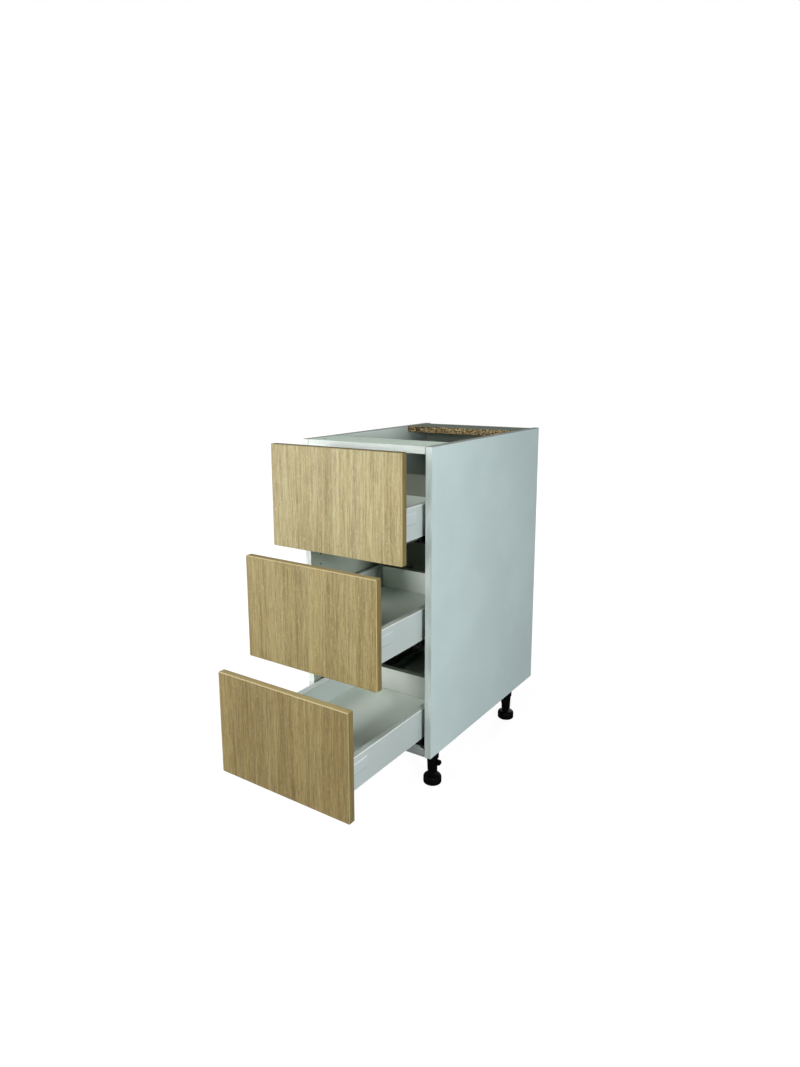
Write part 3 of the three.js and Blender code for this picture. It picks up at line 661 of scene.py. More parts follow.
class Tree:
    """The nodes of one material, or of the world."""

    def __init__(self, owner):
        owner.use_nodes = True
        self.owner = owner
        self.nodes = owner.node_tree.nodes
        self.links = owner.node_tree.links
        self.nodes.clear()
        self.here = None

    def node(self, kind, settings=None, inputs=None, output=0):
        """Adds any node: first its settings, then the values or links of its sockets."""
        made = self.nodes.new(kind)
        for name, value in (settings or {}).items():
            if name == "stops":
                self.set_stops(made.color_ramp.elements, value)
            else:
                setattr(made, name, value)
        for key, value in (inputs or {}).items():
            if isinstance(value, Term):
                self.links.new(value.socket, made.inputs[key])
            else:
                made.inputs[key].default_value = value
        return Term(self, made.outputs[output]) if made.outputs else None

    @staticmethod
    def set_stops(elements, stops):
        for place, shade in stops[2:]:
            elements.new(place)
        for element, (place, shade) in zip(elements, stops):
            element.position = place
            element.color = shade

    def place(self, stretch=1, shift=(0, 0, 0)):
        """Object coordinates in metres, moved, and then stretched alike or by a number for each axis."""
        here = self.node("ShaderNodeTexCoord", output="Object")
        return self.stretched(self.moved(here, shift), stretch)

    def moved(self, vector, shift):
        return self.node("ShaderNodeVectorMath", {"operation": "ADD"}, {0: vector, 1: shift})

    def stretched(self, vector, stretch):
        scale = np.broadcast_to(stretch, 3).tolist()
        return self.node("ShaderNodeMapping", {"vector_type": "POINT"}, {"Vector": vector, "Scale": scale})

    def noise(self, stretch, detail=2, roughness=0.5, start=None):
        """Noise on Object coordinates, or on the start, stretched so that a blob is one unit wide."""
        vector = self.place(stretch) if start is None else self.stretched(start, stretch)
        values = {"Vector": vector, "Scale": 1.0, "Detail": detail, "Roughness": roughness}
        return self.node("ShaderNodeTexNoise", {"noise_dimensions": "3D"}, values)

    def patches(self, stretch, detail, low, high, start=None):
        """1 in the patches where such a noise is high."""
        return self.between(self.noise(stretch, detail, start=start), low, high)

    def cells(self, vector, output="Distance"):
        return self.node("ShaderNodeTexVoronoi", {"feature": "F1"}, {"Vector": vector, "Scale": 1.0}, output)

    def ramp(self, value, *stops):
        stops = [(place, (*tint, 1)) for place, tint in stops]
        return self.node("ShaderNodeValToRGB", {"stops": stops}, {0: value})

    def between(self, value, low, high):
        """0 under low and 1 over high, with a soft step between."""
        ends = {"Value": value, "From Min": low, "From Max": high}
        return self.node("ShaderNodeMapRange", {"interpolation_type": "SMOOTHSTEP"}, ends)

    def mixed(self, share, first, second, blend="MIX"):
        """Two colours mixed. A plain colour has three numbers."""
        ends = [end if isinstance(end, Term) else (*end, 1) for end in (first, second)]
        settings = {"data_type": "RGBA", "blend_type": blend, "clamp_factor": True}
        return self.node("ShaderNodeMix", settings, {0: share, 6: ends[0], 7: ends[1]}, 2)

    def clouded(self, share, tint, factor):
        """A colour that is darker by a factor where the share is 0."""
        return self.mixed(share, shaded(tint, factor), tint)

    def axis(self, vector, name):
        return self.node("ShaderNodeSeparateXYZ", None, {0: vector}, name.upper())

    def along(self, name):
        """The place along an axis, in metres."""
        if self.here is None:
            self.here = self.place()
        return self.axis(self.here, name)

    def near_plane(self, axis, place, reach):
        """1 on the plane across an axis, 0 further away than the reach."""
        away = self.node("ShaderNodeMath", {"operation": "ABSOLUTE"}, {0: self.along(axis) - place})
        return 1 - self.between(away, reach * 0.8, reach)

    def finish(self, base, roughness, height, relief, **sockets):
        """The surface: a Principled shader, with the height as its bump, relief in metres."""
        values = {name.replace("_", " "): value for name, value in sockets.items()}
        values |= {"Base Color": base, "Roughness": roughness}
        values["Normal"] = self.node("ShaderNodeBump", None, {"Height": height, "Distance": relief})
        return self.ended(self.node("ShaderNodeBsdfPrincipled", None, values))

    def ended(self, surface):
        self.node("ShaderNodeOutputMaterial", None, {"Surface": surface})
        return self.owner


def shaded(tint, factor):
    """A colour made darker or paler by a factor."""
    return tuple(factor * part for part in tint)


def new_material(name):
    """The empty tree of a fresh material."""
    return Tree(bpy.data.materials.new(name))


def raw_chips(tree, thin_axis):
    """Colour and height of cut chipboard: flakes that are thinner along one axis, dark joints and dust."""
    colours = palette()
    coarse = np.full(3, 380.0)
    coarse[AXES[thin_axis]] *= 1.5
    flakes = tree.place(coarse, (0.31, 0.17, 0.23))
    shade = tree.axis(tree.cells(flakes, "Color"), "x")
    dust = tree.axis(tree.cells(tree.place(2.2 * coarse, (0.11, 0.37, 0.29)), "Color"), "y")
    value = 0.74 * shade + 0.26 * dust + 0.3 * (tree.noise(900, 3) - 0.5)
    base = tree.ramp(
        value,
        (0.41, colours.chip_dark),
        (0.53, colours.chip_mid),
        (0.64, colours.chip_mid),
        (0.72, colours.chip_pale),
    )
    joints = tree.between(tree.cells(flakes), 0.5, 0.75)
    return tree.mixed(0.75 * joints, base, colours.chip_dark), value


def within(tree, low, high, margin):
    """1 for points that lie inside a box by more than a margin, as those in its bores and grooves do."""
    share = 1
    for name, start, stop in zip(AXES, low, high):
        value = tree.along(name)
        share = share * tree.between(value, start + margin, start + 2 * margin)
        share = share * (1 - tree.between(value, stop - 2 * margin, stop - margin))
    return share


def plane_of(face, low, high):
    """The axis and place of a box's face, which is named by its side and axis, as in "-y"."""
    side, axis = face
    return axis, (low if side == "-" else high)[AXES[axis]]


def inner_face(tree, base, face, low, high):
    """The colour with painted shade on an inner face: palest by the top, darker lower down, and darkest by
    the top at the rear, as the rear rail's painted shadow.
    """
    colours = palette()
    rail_low, rail_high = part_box("front_rail")
    rail = rail_high.y - rail_low.y
    raised = tree.between(tree.along("z"), high.z - 1.6 * rail, high.z - 0.6 * rail)
    rear = tree.between(tree.along("y"), low.y + 0.55 * (high.y - low.y), high.y)
    inside = tree.mixed(raised, colours.deep_melamine, colours.inner_melamine)
    # Painted shadow of the rear rail, in the joints' dark colour
    inside = tree.mixed(0.7 * rear * raised, inside, colours.joint)
    on_face = tree.near_plane(*plane_of(face, low, high), chosen("boards").band)
    return tree.mixed(on_face, base, inside)


def board_finish(node, face, edges, thin_axis="z", joint_axis=None, inner=None, fade=None):
    """Melamine-faced board: faintly pearled face, bands with a painted sheen on some edges, raw chips on
    others, and raw chipboard with painted shade in its bores.

    An edge is named by its side and axis, as in "-y", with the band's colour, or None where it is raw. The
    inner face, which takes painted shade, is named in the same way. The fade is the axis along which the
    face's colour changes as painted shade, with its colour at the far end.
    """
    boards, colours = chosen("boards"), palette()
    tree = new_material(f"{node}_board")
    low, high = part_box(node)
    base = tree.clouded(tree.patches(7, 3, 0.3, 0.7), face, 0.93)
    if fade:
        along, far = fade
        ends = [corner[AXES[along]] for corner in (low, high)]
        base = tree.mixed(tree.between(tree.along(along), *ends), base, far)
    if inner:
        base = inner_face(tree, base, inner, low, high)
    pearl = tree.noise(1400)
    rough = 0.36 + 0.1 * pearl
    height = pearl
    # Painted sheen: light and dark patches along the bands
    sheen = tree.patches((60, 60, 9) if thin_axis == "x" else (9, 60, 60), 2, 0.35, 0.65)
    chips, lumps = raw_chips(tree, thin_axis)
    for edge, tape_colour in edges.items():
        axis, place_of_edge = plane_of(edge, low, high)
        if tape_colour is None:
            cut = tree.near_plane(axis, place_of_edge, boards.raw_reach)
            base = tree.mixed(cut, base, chips)
            rough = rough + 0.4 * cut
            height = height + 4.0 * (cut * lumps)
            continue
        inward = 1 if edge[0] == "-" else -1
        on_band = tree.near_plane(axis, place_of_edge, boards.band)
        line = tree.near_plane(axis, place_of_edge + inward * boards.band, boards.seam / 2)
        base = tree.mixed(on_band, base, tree.clouded(sheen, tape_colour, 0.78))
        base = tree.mixed(0.45 * line, base, shaded(face, 0.3))
        rough = rough - 0.1 * on_band
        height = height - 3.0 * line
    # Painted shade in the joints at the board's two ends
    if joint_axis:
        for end in (low, high):
            shade = tree.near_plane(joint_axis, end[AXES[joint_axis]], boards.joint)
            base = tree.mixed(0.7 * shade, base, colours.joint)
    # Painted shade: the bores and grooves take the darkest chip colour, darkened further
    bored = within(tree, low, high, boards.bore_edge)
    base = tree.mixed(bored, base, shaded(colours.chip_dark, 0.5))
    return tree.finish(base, rough, height, 0.00006, Specular_IOR_Level=0.15)


def chip_finish():
    """Cut chipboard all over, for the raw edge of the rear rail."""
    tree = new_material("raw_chipboard")
    base, lumps = raw_chips(tree, "z")
    return tree.finish(base, 0.8 + 0.15 * lumps, lumps, 0.0003, Specular_IOR_Level=0.2)


def back_finish(low, high):
    """Thin back panel: grey lacquer inside, drawn paler by its top as painted light, and raw brown fibre
    board outside.
    """
    boards, colours = chosen("boards"), palette()
    tree = new_material("back_panel")
    thickness = high.y - low.y
    outside = tree.between(tree.along("y"), low.y + 0.2 * thickness, low.y + 0.4 * thickness)
    fibre = tree.noise(420, 5, 0.7)
    brown = tree.clouded(tree.between(fibre, 0.3, 0.7), colours.back_outer, 0.6)
    grey = tree.clouded(tree.noise(9, 3), colours.back_inner, 0.88)
    # Painted light by the top of the inner face
    pale_end = high.z - boards.pale_top
    upper = tree.between(tree.along("z"), pale_end - boards.pale_fade, pale_end)
    base = tree.mixed(outside, tree.mixed(upper, grey, colours.back_upper), brown)
    return tree.finish(base, 0.45 + 0.4 * outside, fibre, 0.0001, Specular_IOR_Level=0.3)


def oak_finish(level, shift):
    """Oak decor with an upright grain: wide bands, streaks and fibres, with short pores and pale flecks.

    The grain wavers a little, because its place across is moved by a slow noise. A painted highlight runs
    along the face's right edge, and along its upper edge a painted highlight on the lower fronts and painted
    shade on the top one. Each front's decor also carries its own painted shade, darker on the lower fronts.
    """
    boards, colours = chosen("boards"), palette()
    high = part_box(f"front_{level}")[1]
    tree = new_material(f"oak_{level}")
    start = tree.place(shift=shift)
    waver = tree.noise((9, 9, 4), 3, start=start) - 0.5
    grain = tree.moved(start, tree.node("ShaderNodeCombineXYZ", None, {0: 0.014 * waver, 1: 0.0, 2: 0.0}))
    bands = tree.noise((17, 17, 0.9), 2, start=grain)
    streaks = tree.noise((150, 150, 2.6), 6, 0.75, grain)
    fibres = tree.noise((560, 560, 24), 3, 0.7, grain)
    lines = tree.patches((250, 250, 9), 3, 0.56, 0.66, grain)
    pores = tree.patches((560, 560, 70), 1, 0.62, 0.72, grain)
    flecks = tree.patches((480, 480, 110), 1, 0.62, 0.72, grain)
    knots = tree.patches((80, 80, 7), 3, 0.58, 0.76, grain)
    warm = tree.patches((38, 38, 1.3), 3, 0.4, 0.6, grain)
    value = 0.5 + 0.75 * (bands - 0.5) + 1.9 * (streaks - 0.5) + 1.7 * (fibres - 0.5)
    base = tree.ramp(value, (0.15, colours.oak_dark), (0.5, colours.oak_mid), (0.85, colours.oak_light))
    for share in (0.3 * lines, 0.5 * pores, 0.3 * knots):
        base = tree.mixed(share, base, colours.oak_pore)
    base = tree.mixed(0.5 * flecks, base, shaded(colours.oak_light, 1.2))
    base = tree.mixed(1.0, base, tree.mixed(warm, colours.oak_grey, colours.oak_gold), "MULTIPLY")
    # Painted shade: each front's tint darkens the lower fronts
    base = tree.mixed(1.0, base, getattr(colours, f"tone_{level}"), "MULTIPLY")
    # Painted highlight and shade along the face's upper edge, painted highlight along its right edge
    upper = tree.near_plane("z", high.z, boards.upper_line)
    beside = tree.near_plane("x", high.x, boards.right_line)
    base = tree.mixed(0.85 * upper, base, getattr(colours, f"arris_{level}"))
    base = tree.mixed(0.5 * beside, base, colours.oak_arris)
    height = 0.5 * fibres + 0.4 * streaks - 0.8 * pores
    return tree.finish(base, 0.5 + 0.12 * fibres, height, 0.00012, Specular_IOR_Level=0.35)


def oak_band_finish(name, dark, light, stretch, shade_tint=(1, 1, 1)):
    """Edge band of the fronts, with the grain along the band."""
    tree = new_material(name)
    streaks = tree.noise(stretch, 4, 0.65)
    specks = tree.patches(5 * np.array(stretch), 1, 0.58, 0.7)
    base = tree.mixed(tree.between(streaks, 0.3, 0.7), dark, light)
    base = tree.mixed(0.35 * specks, base, shaded(dark, 0.7))
    # The tint, where given, paints light and shade on a front's level bands
    base = tree.mixed(1.0, base, shade_tint, "MULTIPLY")
    return tree.finish(base, 0.46 + 0.12 * streaks, streaks, 0.00008, Specular_IOR_Level=0.35)


def coated_finish(name, coat, top, fade=None, foot=None):
    """White powder coat with the fine dimples of sprayed paint, a painted highlight on its folds, and the top
    colour on its top faces, which paints light on the left sides and shade on the right ones.

    The fade gives the places along Y between which the faces turned to +X change from dark painted shade at
    the front to a lighter painted shade. The foot is the height of the lower edge, which carries a painted
    highlight.
    """
    colours = palette()
    tree = new_material(name)
    dimples = tree.noise(1100)
    facing = tree.node("ShaderNodeNewGeometry", output="Normal")
    base = tree.clouded(tree.noise((14, 5, 14)), coat, 0.94)
    # Painted shade on the left sides' inner walls, darkest at the front
    if fade:
        depth = tree.between(tree.along("y"), *fade)
        inner_wall = tree.mixed(depth, colours.coated_front_left, colours.coated_left)
        base = tree.mixed(tree.between(tree.axis(facing, "x"), 0.3, 0.6), base, inner_wall)
    upright = tree.axis(facing, "z")
    # Painted highlight on the folds, then painted light and shade on the top faces
    base = tree.mixed(tree.between(upright, 0.32, 0.5), base, colours.coated_fold)
    base = tree.mixed(tree.between(upright, 0.9, 0.98), base, top)
    # Painted highlight along the lower edge
    if foot is not None:
        line = tree.near_plane("z", foot, chosen("drawer_sides").foot_line)
        base = tree.mixed(0.8 * line, base, colours.coated_fold)
    return tree.finish(base, 0.3 + 0.12 * dimples, dimples, 0.00005, Specular_IOR_Level=0.5)


def cap_finish(name, low, high, shine):
    """Cap of a drawer side: painted highlights make it paler over a ridge near its top, with a pale line at
    the ridge and at the rear.

    A line of painted shade runs along the cap's foot.
    """
    sizes, colours = chosen("drawer_sides"), palette()
    tree = new_material(name)
    cloud = tree.noise(40)
    base = tree.clouded(cloud, colours.cap, 0.95)
    ridge = high.z - sizes.ridge_drop
    raised = tree.between(tree.along("z"), ridge - sizes.ridge_slope, ridge)
    at_ridge = tree.near_plane("z", ridge, sizes.ridge_line)
    at_rear = tree.near_plane("y", high.y, sizes.rear_line)
    # Painted highlights over the ridge, along it and at the rear
    for share in (0.4 * shine * raised, shine * at_ridge, 0.9 * shine * raised * at_rear):
        base = tree.mixed(share, base, colours.coated_fold)
    # Painted shade along the cap's foot
    base = tree.mixed(0.5 * tree.near_plane("z", low.z, sizes.dark_line), base, colours.joint)
    height = 0.2 * tree.noise(1600, 3) + raised
    return tree.finish(base, 0.34 + 0.12 * (cloud - 0.5), height, 0.0002, Specular_IOR_Level=0.5)


def plastic_finish(name, tint, rough, grain_size, specular):
    """Moulded plastic with a fine sparked grain and slightly uneven gloss."""
    tree = new_material(name)
    cloud = tree.noise(40)
    base = tree.clouded(cloud, tint, 0.85)
    grain = tree.noise(grain_size, 3)
    return tree.finish(base, rough + 0.12 * (cloud - 0.5), grain, 0.00006, Specular_IOR_Level=specular)


def runner_finish(name, front=None):
    """Coated steel, drawn lengthwise, and near black behind the front where that is given."""
    sizes, colours = chosen("runners"), palette()
    tree = new_material(name)
    lines = tree.noise((900, 12, 900), 3)
    base = tree.clouded(tree.noise((30, 8, 30), 3), colours.runner, 0.6)
    rough = 0.42 + 0.2 * lines
    if front is not None:
        dark_end = front + sizes.dark_end
        behind = tree.between(tree.along("y"), dark_end, dark_end + sizes.dark_fade)
        base = tree.mixed(behind, colours.runner_end, base)
        rough = rough + 0.3 * (1 - behind)
    return tree.finish(base, rough, lines, 0.00003, Metallic=0.3, Specular_IOR_Level=0.3)


def zinc_finish():
    """Zinc plate: dull crystals, each with its own shade and gloss."""
    tree = new_material("zinc_plate")
    crystal = tree.axis(tree.cells(tree.place(420), "Color"), "x")
    scuffs = tree.noise((300, 40, 300), 3)
    base = tree.clouded(crystal, palette().zinc, 0.72)
    return tree.finish(base, 0.28 + 0.16 * crystal + 0.1 * scuffs, scuffs, 0.00002, Metallic=1.0)


def floor_finish(stage):
    """White floor: the lamps see a grey one, and the camera a white one with shadows near the object."""
    tree = new_material("floor")
    reach = tree.node("ShaderNodeVectorMath", {"operation": "LENGTH"}, {0: tree.place()}, "Value")
    near = 1 - tree.between(reach, 0.5 * stage.shadow_radius, stage.shadow_radius)
    seen = tree.node("ShaderNodeLightPath", output="Is Camera Ray")
    dusty = tree.clouded(tree.noise(24, 3), stage.floor_bounce, 0.96)
    base = tree.mixed(seen, dusty, (0.95, 0.95, 0.95))
    lit = tree.node("ShaderNodeBsdfDiffuse", None, {"Color": base})
    white = tree.node("ShaderNodeEmission", None, {"Color": (1, 1, 1, 1), "Strength": 1.08})
    share = seen * (1 - stage.shadow_share * near)
    return tree.ended(tree.node("ShaderNodeMixShader", None, {0: share, 1: lit, 2: white}))


# ---------------------------------------------------------------------------
# Operators
# ---------------------------------------------------------------------------


def dress_board(node, face, edges, **more):
    """Gives a board of the CAD model its finish."""
    dress(node, board_finish(node, face, edges, **more))


class DressCarcass(bpy.types.Operator):
    """Gives the carcass boards their finishes and the rear rail its raw edge"""

    bl_idname = "cabinet.dress_carcass"
    bl_label = "Carcass boards"

    def execute(self, context):
        colours = palette()
        # Painted light and shade: each band and the sides' upper edges take their own shade of the white
        # edging
        for hand, inner in (("left", "+x"), ("right", "-x")):
            band = getattr(colours, f"{hand}_band")
            edges = {"-y": band, "+z": colours.top_edge, "-z": None, "+y": None}
            dress_board(f"side_{hand}", colours.melamine, edges, thin_axis="x", inner=inner)
        dress_board("bottom_panel", colours.melamine, {"-y": colours.low_band, "+y": None}, inner="+z")
        dress_board("front_rail", colours.rail_face, {"-y": colours.rail_band, "+y": None}, joint_axis="x")
        dress_board("rear_rail", colours.rear_rail_face, {"-y": None}, joint_axis="x")
        self.make_raw_edge(chosen("boards"), *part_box("rear_rail"))
        dress("back_panel", back_finish(*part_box("back_panel")))
        return {"FINISHED"}

    @staticmethod
    def make_raw_edge(boards, low, high):
        """The rear rail's front edge: a strip whose rings run up the relief and back down inside the rail."""
        inset = boards.chip_inset
        columns = int((high.x - low.x - 2 * inset) / boards.chip_step)
        rows = int((high.z - low.z - 2 * inset) / boards.chip_step)
        across, up = np.meshgrid(
            np.linspace(low.x + inset, high.x - inset, columns),
            np.linspace(low.z + inset, high.z - inset, rows),
            indexing="ij",
        )
        relief = np.clip(chip_relief(across, up, boards.chip_size), 0, 1) * boards.chip_relief
        front = np.stack([across, low.y - boards.chip_lift - relief, up], axis=-1)
        inside = front[:, [-1, 0]].copy()
        inside[..., 1] = low.y + boards.chip_root
        edge = ringed(np.concatenate([front, inside], axis=1))
        make_piece("rear_rail_raw_edge", [edge], "carcass", [chip_finish()])


class MakeFronts(bpy.types.Operator):
    """Makes the three drawer fronts with their edge bands"""

    bl_idname = "cabinet.make_fronts"
    bl_label = "Drawer fronts"

    def execute(self, context):
        boards, colours = chosen("boards"), palette()
        dark, light = colours.oak_band_dark, colours.oak_band_light
        for step, level in enumerate(LEVELS):
            node = f"front_{level}"
            low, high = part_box(node)
            shell = slab(low, high, "y", boards.front_corner, boards.front_arris)
            shell.tags = self.edge_tags(shell, low.y, high.y, boards.front_arris / 2)
            upright, across = f"oak_band_upright_{level}", f"oak_band_level_{level}"
            # Painted light and shade on the level bands, in a tint for each front
            shade_tint = getattr(colours, f"level_{level}")
            finishes = [
                oak_finish(level, (0.37 * step, 0.21 * step, 0.53 * step)),
                oak_band_finish(upright, dark, light, (500, 500, 9)),
                oak_band_finish(across, colours.oak_mid, colours.oak_light, (9, 500, 500), shade_tint),
            ]
            make_piece(f"oak_{node}", [shell], f"drawer_{level}", finishes, [node], 60)
        return {"FINISHED"}

    @staticmethod
    def edge_tags(shell, face, rear, margin):
        """0 on the faces, 1 on the upright edges and 2 on the level ones, by where a quad's middle lies."""
        middle = shell.points[shell.quads].mean(axis=1)
        centre = (shell.points.max(axis=0) + shell.points.min(axis=0)) / 2
        reach = (shell.points.max(axis=0) - shell.points.min(axis=0)) / 2
        on_edge = (middle[:, 1] > face + margin) & (middle[:, 1] < rear - margin)
        off = np.abs(middle - centre) - reach
        upright = off[:, 0] > off[:, 2]
        return np.where(on_edge, np.where(upright, 1, 2), 0)


class MakeDrawerSides(bpy.types.Operator):
    """Makes the folded drawer sides, their rear tabs and their caps"""

    bl_idname = "cabinet.make_drawer_sides"
    bl_label = "Drawer sides"

    def execute(self, context):
        sizes, colours = chosen("drawer_sides"), palette()
        # Painted light: the tabs and wedges lie in shade, and their coat takes the pale fold colour on every
        # face
        tab_coat = coated_finish("powder_coat_tab", colours.coated_fold, colours.coated_fold)
        for level in LEVELS:
            for hand, side in HANDS.items():
                node = f"drawer_side_{hand}_{level}"
                low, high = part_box(node)
                # Painted light and shade on the tops, and painted shade on the left sides' inner walls
                top = getattr(colours, f"coated_top_{hand}")
                fade = (low.y, low.y + 0.6 * (high.y - low.y)) if hand == "left" else None
                coat = coated_finish(f"powder_coat_{hand}_{level}", colours.coated, top, fade, low.z)
                self.make_side(node, side, sizes, [coat, tab_coat], level)
                node = f"side_cap_{hand}_{level}"
                low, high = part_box(node)
                plate = slab(low, high, "x", sizes.cap_corner, sizes.cap_arris)
                plastic = cap_finish(f"cap_plastic_{hand}_{level}", low, high, CAP_SHINE[level])
                make_piece(f"{node}_plate", [plate], f"drawer_{level}", [plastic], [node])
        return {"FINISHED"}

    @staticmethod
    def make_side(node, side, sizes, coats, level):
        """The sheet's middle line runs up the outer wall, over the top, down the inner wall and in below.

        The tab closes the sheet's rear end, and a wedge the gap between the leaning wall and the back board.
        """
        low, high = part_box(node)
        back_low, back_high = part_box(f"drawer_back_{level}")
        outer = max(abs(low.x), abs(high.x))
        half = sizes.sheet / 2
        top, foot = high.z, low.z
        ledge = foot + sizes.ledge_rise
        lean = math.atan2(sizes.foot_width - sizes.top_width, top - ledge - sizes.base_thickness)
        inner_top = outer - sizes.top_width + half * math.tan(math.pi / 4 - lean / 2)
        inner_foot = outer - sizes.foot_width + half
        corners = [
            (outer - half, foot),
            (outer - half, top - half),
            (inner_top, top - half),
            (inner_foot, ledge + sizes.base_thickness + half * math.tan(lean / 2)),
            (inner_foot, ledge - half),
            (outer - sizes.foot_width - sizes.ledge_depth, ledge - half),
        ]
        radii = [sizes.fold_radius, sizes.fold_radius, sizes.foot_radius, sizes.foot_radius]
        ring = sheet_ring(corners, radii, sizes.sheet)
        sheet = strip_ended(drawn_along_y(ring, side, np.linspace(low.y, high.y, 10)))
        front = high.y - sizes.tab_setback
        tab_top = top - sizes.tab_drop
        tab_end = outer - sizes.foot_width - sizes.tab_reach
        wall_foot = outer - sizes.foot_width + sizes.sheet
        base_top = ledge + sizes.base_thickness
        wall = [(outer - sizes.top_width + sizes.sheet, tab_top), (wall_foot, base_top)]
        outline = [*wall, (wall_foot, ledge), (tab_end, ledge), (tab_end, tab_top)]
        tab = ringed(drawn_along_y(np.array(outline), side, [front, front + sizes.tab_thickness]))
        beside = back_high.x + sizes.wedge_air
        outline = [*wall, (beside, base_top), (beside, tab_top)]
        ends = [back_low.y + sizes.wedge_start, front + sizes.wedge_bite]
        wedge = ringed(drawn_along_y(np.array(outline), side, ends))
        tab.tags[:] = wedge.tags[:] = 1
        make_piece(f"{node}_sheet", [sheet, tab, wedge], f"drawer_{level}", coats, [node])


class DressDrawerBoxes(bpy.types.Operator):
    """Gives the drawers' bases, back boards and brackets their finishes"""

    bl_idname = "cabinet.dress_drawer_boxes"
    bl_label = "Drawer boxes"

    def execute(self, context):
        colours = palette()
        zinc = zinc_finish()
        # Painted shade on the back boards' upper edges
        back_edges = {"+z": colours.inner_edge, "-x": None, "+x": None, "-z": None}
        for level in LEVELS:
            # Painted shade: each base fades from its front to its rear, and each back board from its left to
            # its right
            near, far = getattr(colours, f"base_{level}"), colours.base_rear
            dress_board(f"drawer_base_{level}", near, {"-y": None, "+y": None}, fade=("y", far))
            left, right = getattr(colours, f"back_{level}"), getattr(colours, f"back_right_{level}")
            dress_board(f"drawer_back_{level}", left, back_edges, thin_axis="y", fade=("x", right))
            for hand in HANDS:
                dress(f"front_bracket_{hand}_{level}", zinc)
        return {"FINISHED"}


class MakeRunners(bpy.types.Operator):
    """Makes the cabinet, middle and drawer members of the runners, with their rollers"""

    bl_idname = "cabinet.make_runners"
    bl_label = "Runners"

    def execute(self, context):
        sizes = chosen("runners")
        steel = runner_finish("runner_steel")
        fixed = runner_finish("runner_steel_fixed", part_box("cabinet_runner_left_top")[0].y)
        rolling = plastic_finish("roller_plastic", palette().roller, 0.4, 1500, 0.4)
        for level in LEVELS:
            for hand, side in HANDS.items():
                tail = f"runner_{hand}_{level}"
                self.make_cabinet_member(f"cabinet_{tail}", side, sizes, fixed)
                self.make_drawer_member(f"drawer_{tail}", side, sizes, steel, f"drawer_{level}")
                body = f"middle_runners_{level}"
                self.make_middle_member(f"middle_{tail}", side, sizes, steel, rolling, body)
        return {"FINISHED"}

    @staticmethod
    def channel_ring(near, low, sizes, opens_up):
        """Section of a slotted channel: lip, wall, floor, wall, lip, on the middle line of its sheet."""
        half = sizes.steel / 2
        middle = near + sizes.channel_width / 2
        lips = [middle - sizes.slot / 2, middle + sizes.slot / 2]
        left, right = near + half, near + sizes.channel_width - half
        closed, slotted = low + half, low + sizes.channel_height - half
        if not opens_up:
            closed, slotted = slotted, closed
        corners = [(left, slotted), (left, closed), (right, closed), (right, slotted)]
        corners = [(lips[0], slotted), *corners, (lips[1], slotted)]
        return sheet_ring(corners, [sizes.bend] * 4, sizes.steel)

    def make_cabinet_member(self, node, side, sizes, steel):
        """A channel that opens upwards, with a flange from under its floor up the cabinet's side."""
        low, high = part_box(node)
        inner, outer = sorted([abs(low.x), abs(high.x)])
        half = sizes.steel / 2
        foot = low.z + half
        channel = self.channel_ring(inner, low.z, sizes, True)
        corners = [(outer - half, high.z), (outer - half, foot), (inner + sizes.channel_width - half, foot)]
        flange = sheet_ring(corners, [sizes.bend], sizes.steel)
        shells = [strip_ended(drawn_along_y(ring, side, [low.y, high.y])) for ring in (channel, flange)]
        make_piece(f"{node}_profile", shells, "carcass", [steel], [node])

    def make_drawer_member(self, node, side, sizes, steel, body):
        """A channel that opens downwards: its section drawn along Y."""
        low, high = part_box(node)
        inner = min(abs(low.x), abs(high.x))
        ring = self.channel_ring(inner, low.z, sizes, False)
        shell = strip_ended(drawn_along_y(ring, side, [low.y, high.y]))
        make_piece(f"{node}_profile", [shell], body, [steel], [node])

    @staticmethod
    def make_middle_member(node, side, sizes, steel, rolling, body):
        """A cross of a web and a stiffener, and rollers turned about X at shares of the web's length.

        The lower rollers are placed from its rear end and the upper ones from its front end.
        """
        low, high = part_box(node)
        middle = abs(low.x + high.x) / 2
        radius = (sizes.channel_height - 2 * sizes.steel) / 2 - sizes.roller_play
        lower, upper = low.z + radius, high.z - radius
        centre = (lower + upper) / 2
        reach = (sizes.web / 2, sizes.stiffener / 2, sizes.channel_width / 2)
        web = [(reach[0], upper + sizes.axle_margin - centre), (reach[0], reach[1]), (reach[2], reach[1])]
        web += [(x, -z) for x, z in web[::-1]]
        outline = np.array(web + [(-x, z) for x, z in web[::-1]]) + [middle, centre]
        bar = ringed(drawn_along_y(outline, side, [low.y, high.y]))
        make_piece(f"{node}_web", [bar], body, [steel], [node])
        width = sizes.channel_width - 2 * sizes.steel - 2 * sizes.roller_play
        span = high.y - low.y
        places = [
            (low.y + share * span if z > centre else high.y - share * span, z)
            for share in (sizes.first_roller, sizes.second_roller)
            for z in (lower, upper)
        ]
        rim = sizes.roller_rim
        profile = [
            (0.3 * radius, 0.4 * width),
            (0.42 * radius, 0.5 * width),
            (radius - rim, 0.5 * width),
            (radius, 0.5 * width - rim),
        ]
        profile += [(out, -z) for out, z in profile[::-1]]
        for index, (y, z) in enumerate(places):
            rings = turned_to(turned(profile, (0, 0, 0), 32), (side * middle, y, z), "x", 1)
            make_piece(f"{node}_roller_{index}", [ringed(rings)], body, [rolling])


def middle_of(node):
    """The middle of a CAD node's box."""
    low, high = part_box(node)
    return (low + high) / 2


